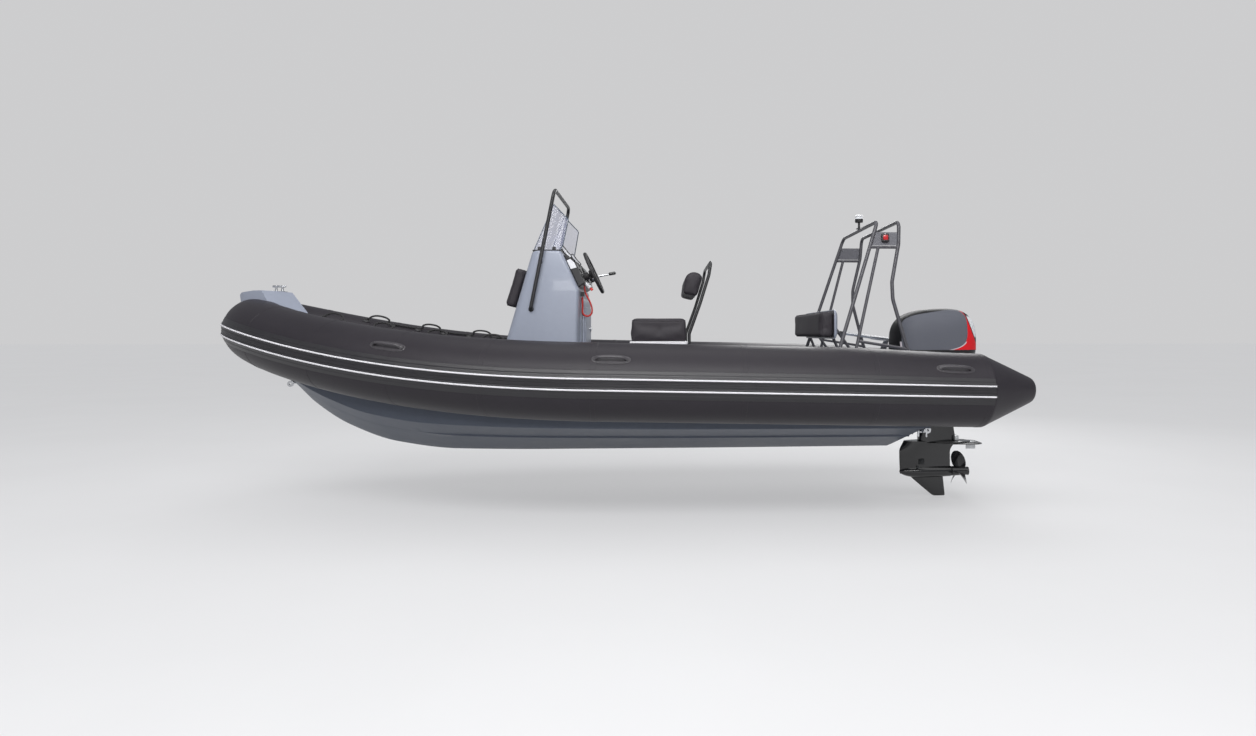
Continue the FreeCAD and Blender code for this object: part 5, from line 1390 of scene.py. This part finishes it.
def make_lower_unit():
    softened("clamp_bracket", "clamp_casting", "cast", 4)
    softened("swivel_bracket", "swivel_casting", "cast", 3, "outboard_tilt")
    softened("midsection", "midsection_casting", "gloss_black", 3, "outboard")
    rows = ((-605, 90, -335, 34), (-420, 96, -332, 50), (-330.3, 58, -385, 68))
    leg = leg_rings(rows, [float(z) for z in np.linspace(-330.3, -605, 16)])
    torpedo = revolve(((0, 0), (3, 9), (10, 16.5), (24, 25.5), (45, 34.5), (75, 42.5), (110, 48.5),
        (150, 51.8), (190, 52.5), (260, 51), (350, 47.5), (425, 44), (431, 42.5), (433, 0)),
        V(STEER + 95, 0, SHAFT_Z), -X, 40)
    skeg = [teardrop(*row, 14) for row in (
        (-600, 30, -272, 8.5), (-650, -20, -276, 7.5), (-720, -103, -283.5, 5.8), (-770, -163, -289, 4.5),
        (-785, -184, -289.5, 3.8), (-790.5, -200, -283, 2.5))]
    plates = [plate_part(((-60, 0), (-100, 62), (-260, 100), (-530, 112), (-578, 80), (-578, 0)), -352, -342),
              plate_part(((-140, 0), (-200, 78), (-360, 96), (-480, 70), (-505, 0)), -338, -331.3, 2)]
    put("gearcase_casting", [skin(leg), torpedo, skin(skeg), *plates], "gloss_black", "outboard", 50,
        "gearcase")
    tab_plan = ((-470, 0), (-480, 0.7), (-510, 1), (-545, 0.5), (-552, 0), (-545, -0.5), (-510, -1),
        (-480, -0.7))
    tab = skin([[V(STEER + x, y * half, z) for x, y in tab_plan]
                for z, half in ((-353, 12), (-372, 11), (-395, 7), (-402, 3))])
    # the tab under the plate and the two side blocks are anodes; the thin pale zinc patch on the plate's tail
    # is a painted glint
    put("anodes_and_glint_patch", [tab, *both(block(V(STEER - 378, 24, -308), (34, 30, 44), 5)),
                   block(V(STEER - 520, 0, -340.5), (55, 60, 3), 1.2)], "anode_and_glint", "outboard", 40)
    bolts = [block(V(*at), size, radius) for at, size, radius in (
        ((-2541, 72, -246.5), (15, 16, 86), 6), ((-2608, 72, -248), (15, 16, 92), 6),
        ((-2575, 72, -250), (66, 10, 12), 4), ((-2490, 66, -228), (46, 10, 10), 4),
        ((-2482, 66, -238), (10, 12, 36), 4))]
    put("lower_mount_bolts", both(join(bolts)), "steel", "outboard", 40)
    inlets = []
    for side in (1, -1):
        inlets += [block(V(STEER - 60 - 12 * k, side * 50.5, -500), (6, 6, 46), 2) for k in range(4)]
        inlets.append(revolve(((0, 10), (3, 10), (4, 0)), V(STEER - 45, side * 46, -545), Y * side, 16))
    put("water_inlets", inlets, "rubber_seam", "outboard")


# radius, chord, pitch angle, skew and half thickness
BLADE = ((30, 88, 62, 0, 4.6), (60, 112, 52, -4, 4.2), (90, 126, 44, -10, 3.6), (120, 126, 38, -18, 3.0),
         (142, 110, 33, -26, 2.4), (157, 80, 30, -33, 1.8), (165.5, 40, 28, -38, 1.3))


def make_propeller():
    """Hub with a flared end and three skewed blades."""
    base = V(STEER - 343.5, 0, SHAFT_Z)
    parts = [revolve(((0, 0), (0, 39.5), (6, 40.2), (70, 37.5), (120, 35), (136, 35.2), (142, 37.2),
        (142.5, 33), (120, 30), (118, 0)), base, -X, 40)]
    for k in range(3):
        spin = Matrix.Rotation(radians(120 * k), 3, X)
        rings = []
        for radius, chord, pitch, skew, thick in BLADE:
            pitch, ring = radians(pitch), []
            for a in turns(20):
                # the chord follows the cylinder about the shaft
                along, out = cos(a) * chord / 2 + skew, sin(a) * thick
                turn = along / max(radius, 50) * cos(pitch)
                ring.append(base + spin @ V(-74 - sin(pitch) * along + cos(pitch) * out,
                                            sin(turn) * radius + sin(pitch) * out, cos(turn) * radius))
            rings.append(ring)
        parts.append(skin(rings))
    put("propeller_cast", parts, "gloss_black", "propeller", 50, "propeller")


make_cowl()
make_lower_unit()
make_propeller()


# ---------------------------------------------------------------- light and surroundings, in metres
PALE = (0.80, 0.80, 0.81)


def floor_material(name):
    """Plain pale floor that keeps the shadow and throws little light back up."""
    material = bpy.data.materials.new(name)
    n = Nodes(material)
    out = n.add("OutputMaterial")
    path = n.add("LightPath").outputs
    seen = n.math("MAXIMUM", path["Is Camera Ray"], n.math("MAXIMUM", path["Is Glossy Ray"],
                                                          path["Is Transmission Ray"]))
    cloud = n.step(n.noise(n.spot(), 0.6), 0.35, 0.65)
    shader = n.add("BsdfPrincipled", Roughness=0.9)
    n.put(shader.inputs["Base Color"], n.mix(seen, (0.50, 0.50, 0.51, 1.0),
                                             n.mix(cloud, rgba(PALE, 0.985), rgba(PALE, 1.015))))
    glow = n.add("Emission", Color=rgba(PALE, 1.0), Strength=0.93)
    mixed = n.add("MixShader", _0=n.times(seen, 0.55), _1=shader.outputs[0], _2=glow.outputs[0])
    n.put(out.inputs[0], mixed.outputs[0])
    return material


def facing(way):
    return way.to_track_quat("-Z", "Y").to_euler()


def make_surroundings():
    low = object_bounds()[0].z - 0.004
    mesh = bpy.data.meshes.new("studio_floor")
    mesh.from_pydata([(-90, -90, low), (90, -90, low), (90, 90, low), (-90, 90, low)], [], [(0, 1, 2, 3)])
    mesh.materials.append(floor_material("studio_floor"))
    add_object("studio_floor", mesh)
    scene.world = bpy.data.worlds.new("studio")
    n = Nodes(scene.world)
    out = n.add("OutputWorld")
    path = n.add("LightPath").outputs
    seen = n.math("MAXIMUM", path["Is Camera Ray"], path["Is Transmission Ray"])
    back = n.add("Background", Color=(0.80, 0.82, 0.86, 1.0), Strength=0.36)
    pale = n.add("Background", Color=rgba(PALE, 1.0), Strength=0.765)
    mixed = n.add("MixShader", _0=seen, _1=back.outputs[0], _2=pale.outputs[0])
    n.put(out.inputs[0], mixed.outputs[0])
    for name, at, aim, size, power in (
            ("key", (0.8, 7.0, 5.8), (-0.2, 0.4, 0.2), (9.0, 2.2), 480),
            ("top", (-0.3, -0.4, 5.6), (-0.3, 0.0, 0.2), (6.0, 3.0), 70),
            ("back", (-3.6, -5.2, 3.4), (-0.4, 0.0, 0.3), (4.0, 2.5), 130),
            ("strip", (-1.4, 5.6, 1.5), (-1.8, 0.0, -0.1), (5.0, 0.5), 60)):
        data = bpy.data.lights.new(name, "AREA")
        data.shape, data.energy = "RECTANGLE", power
        data.size, data.size_y = size
        add_object(name, data, at, facing(V(*aim) - V(*at)))
    data = bpy.data.lights.new("sky", "SUN")
    data.energy, data.angle = 0.9, radians(70)
    add_object("sky", data, turn=facing(V(0.1, -0.55, -0.83)))
    scene.view_settings.view_transform = "Standard"


make_surroundings()
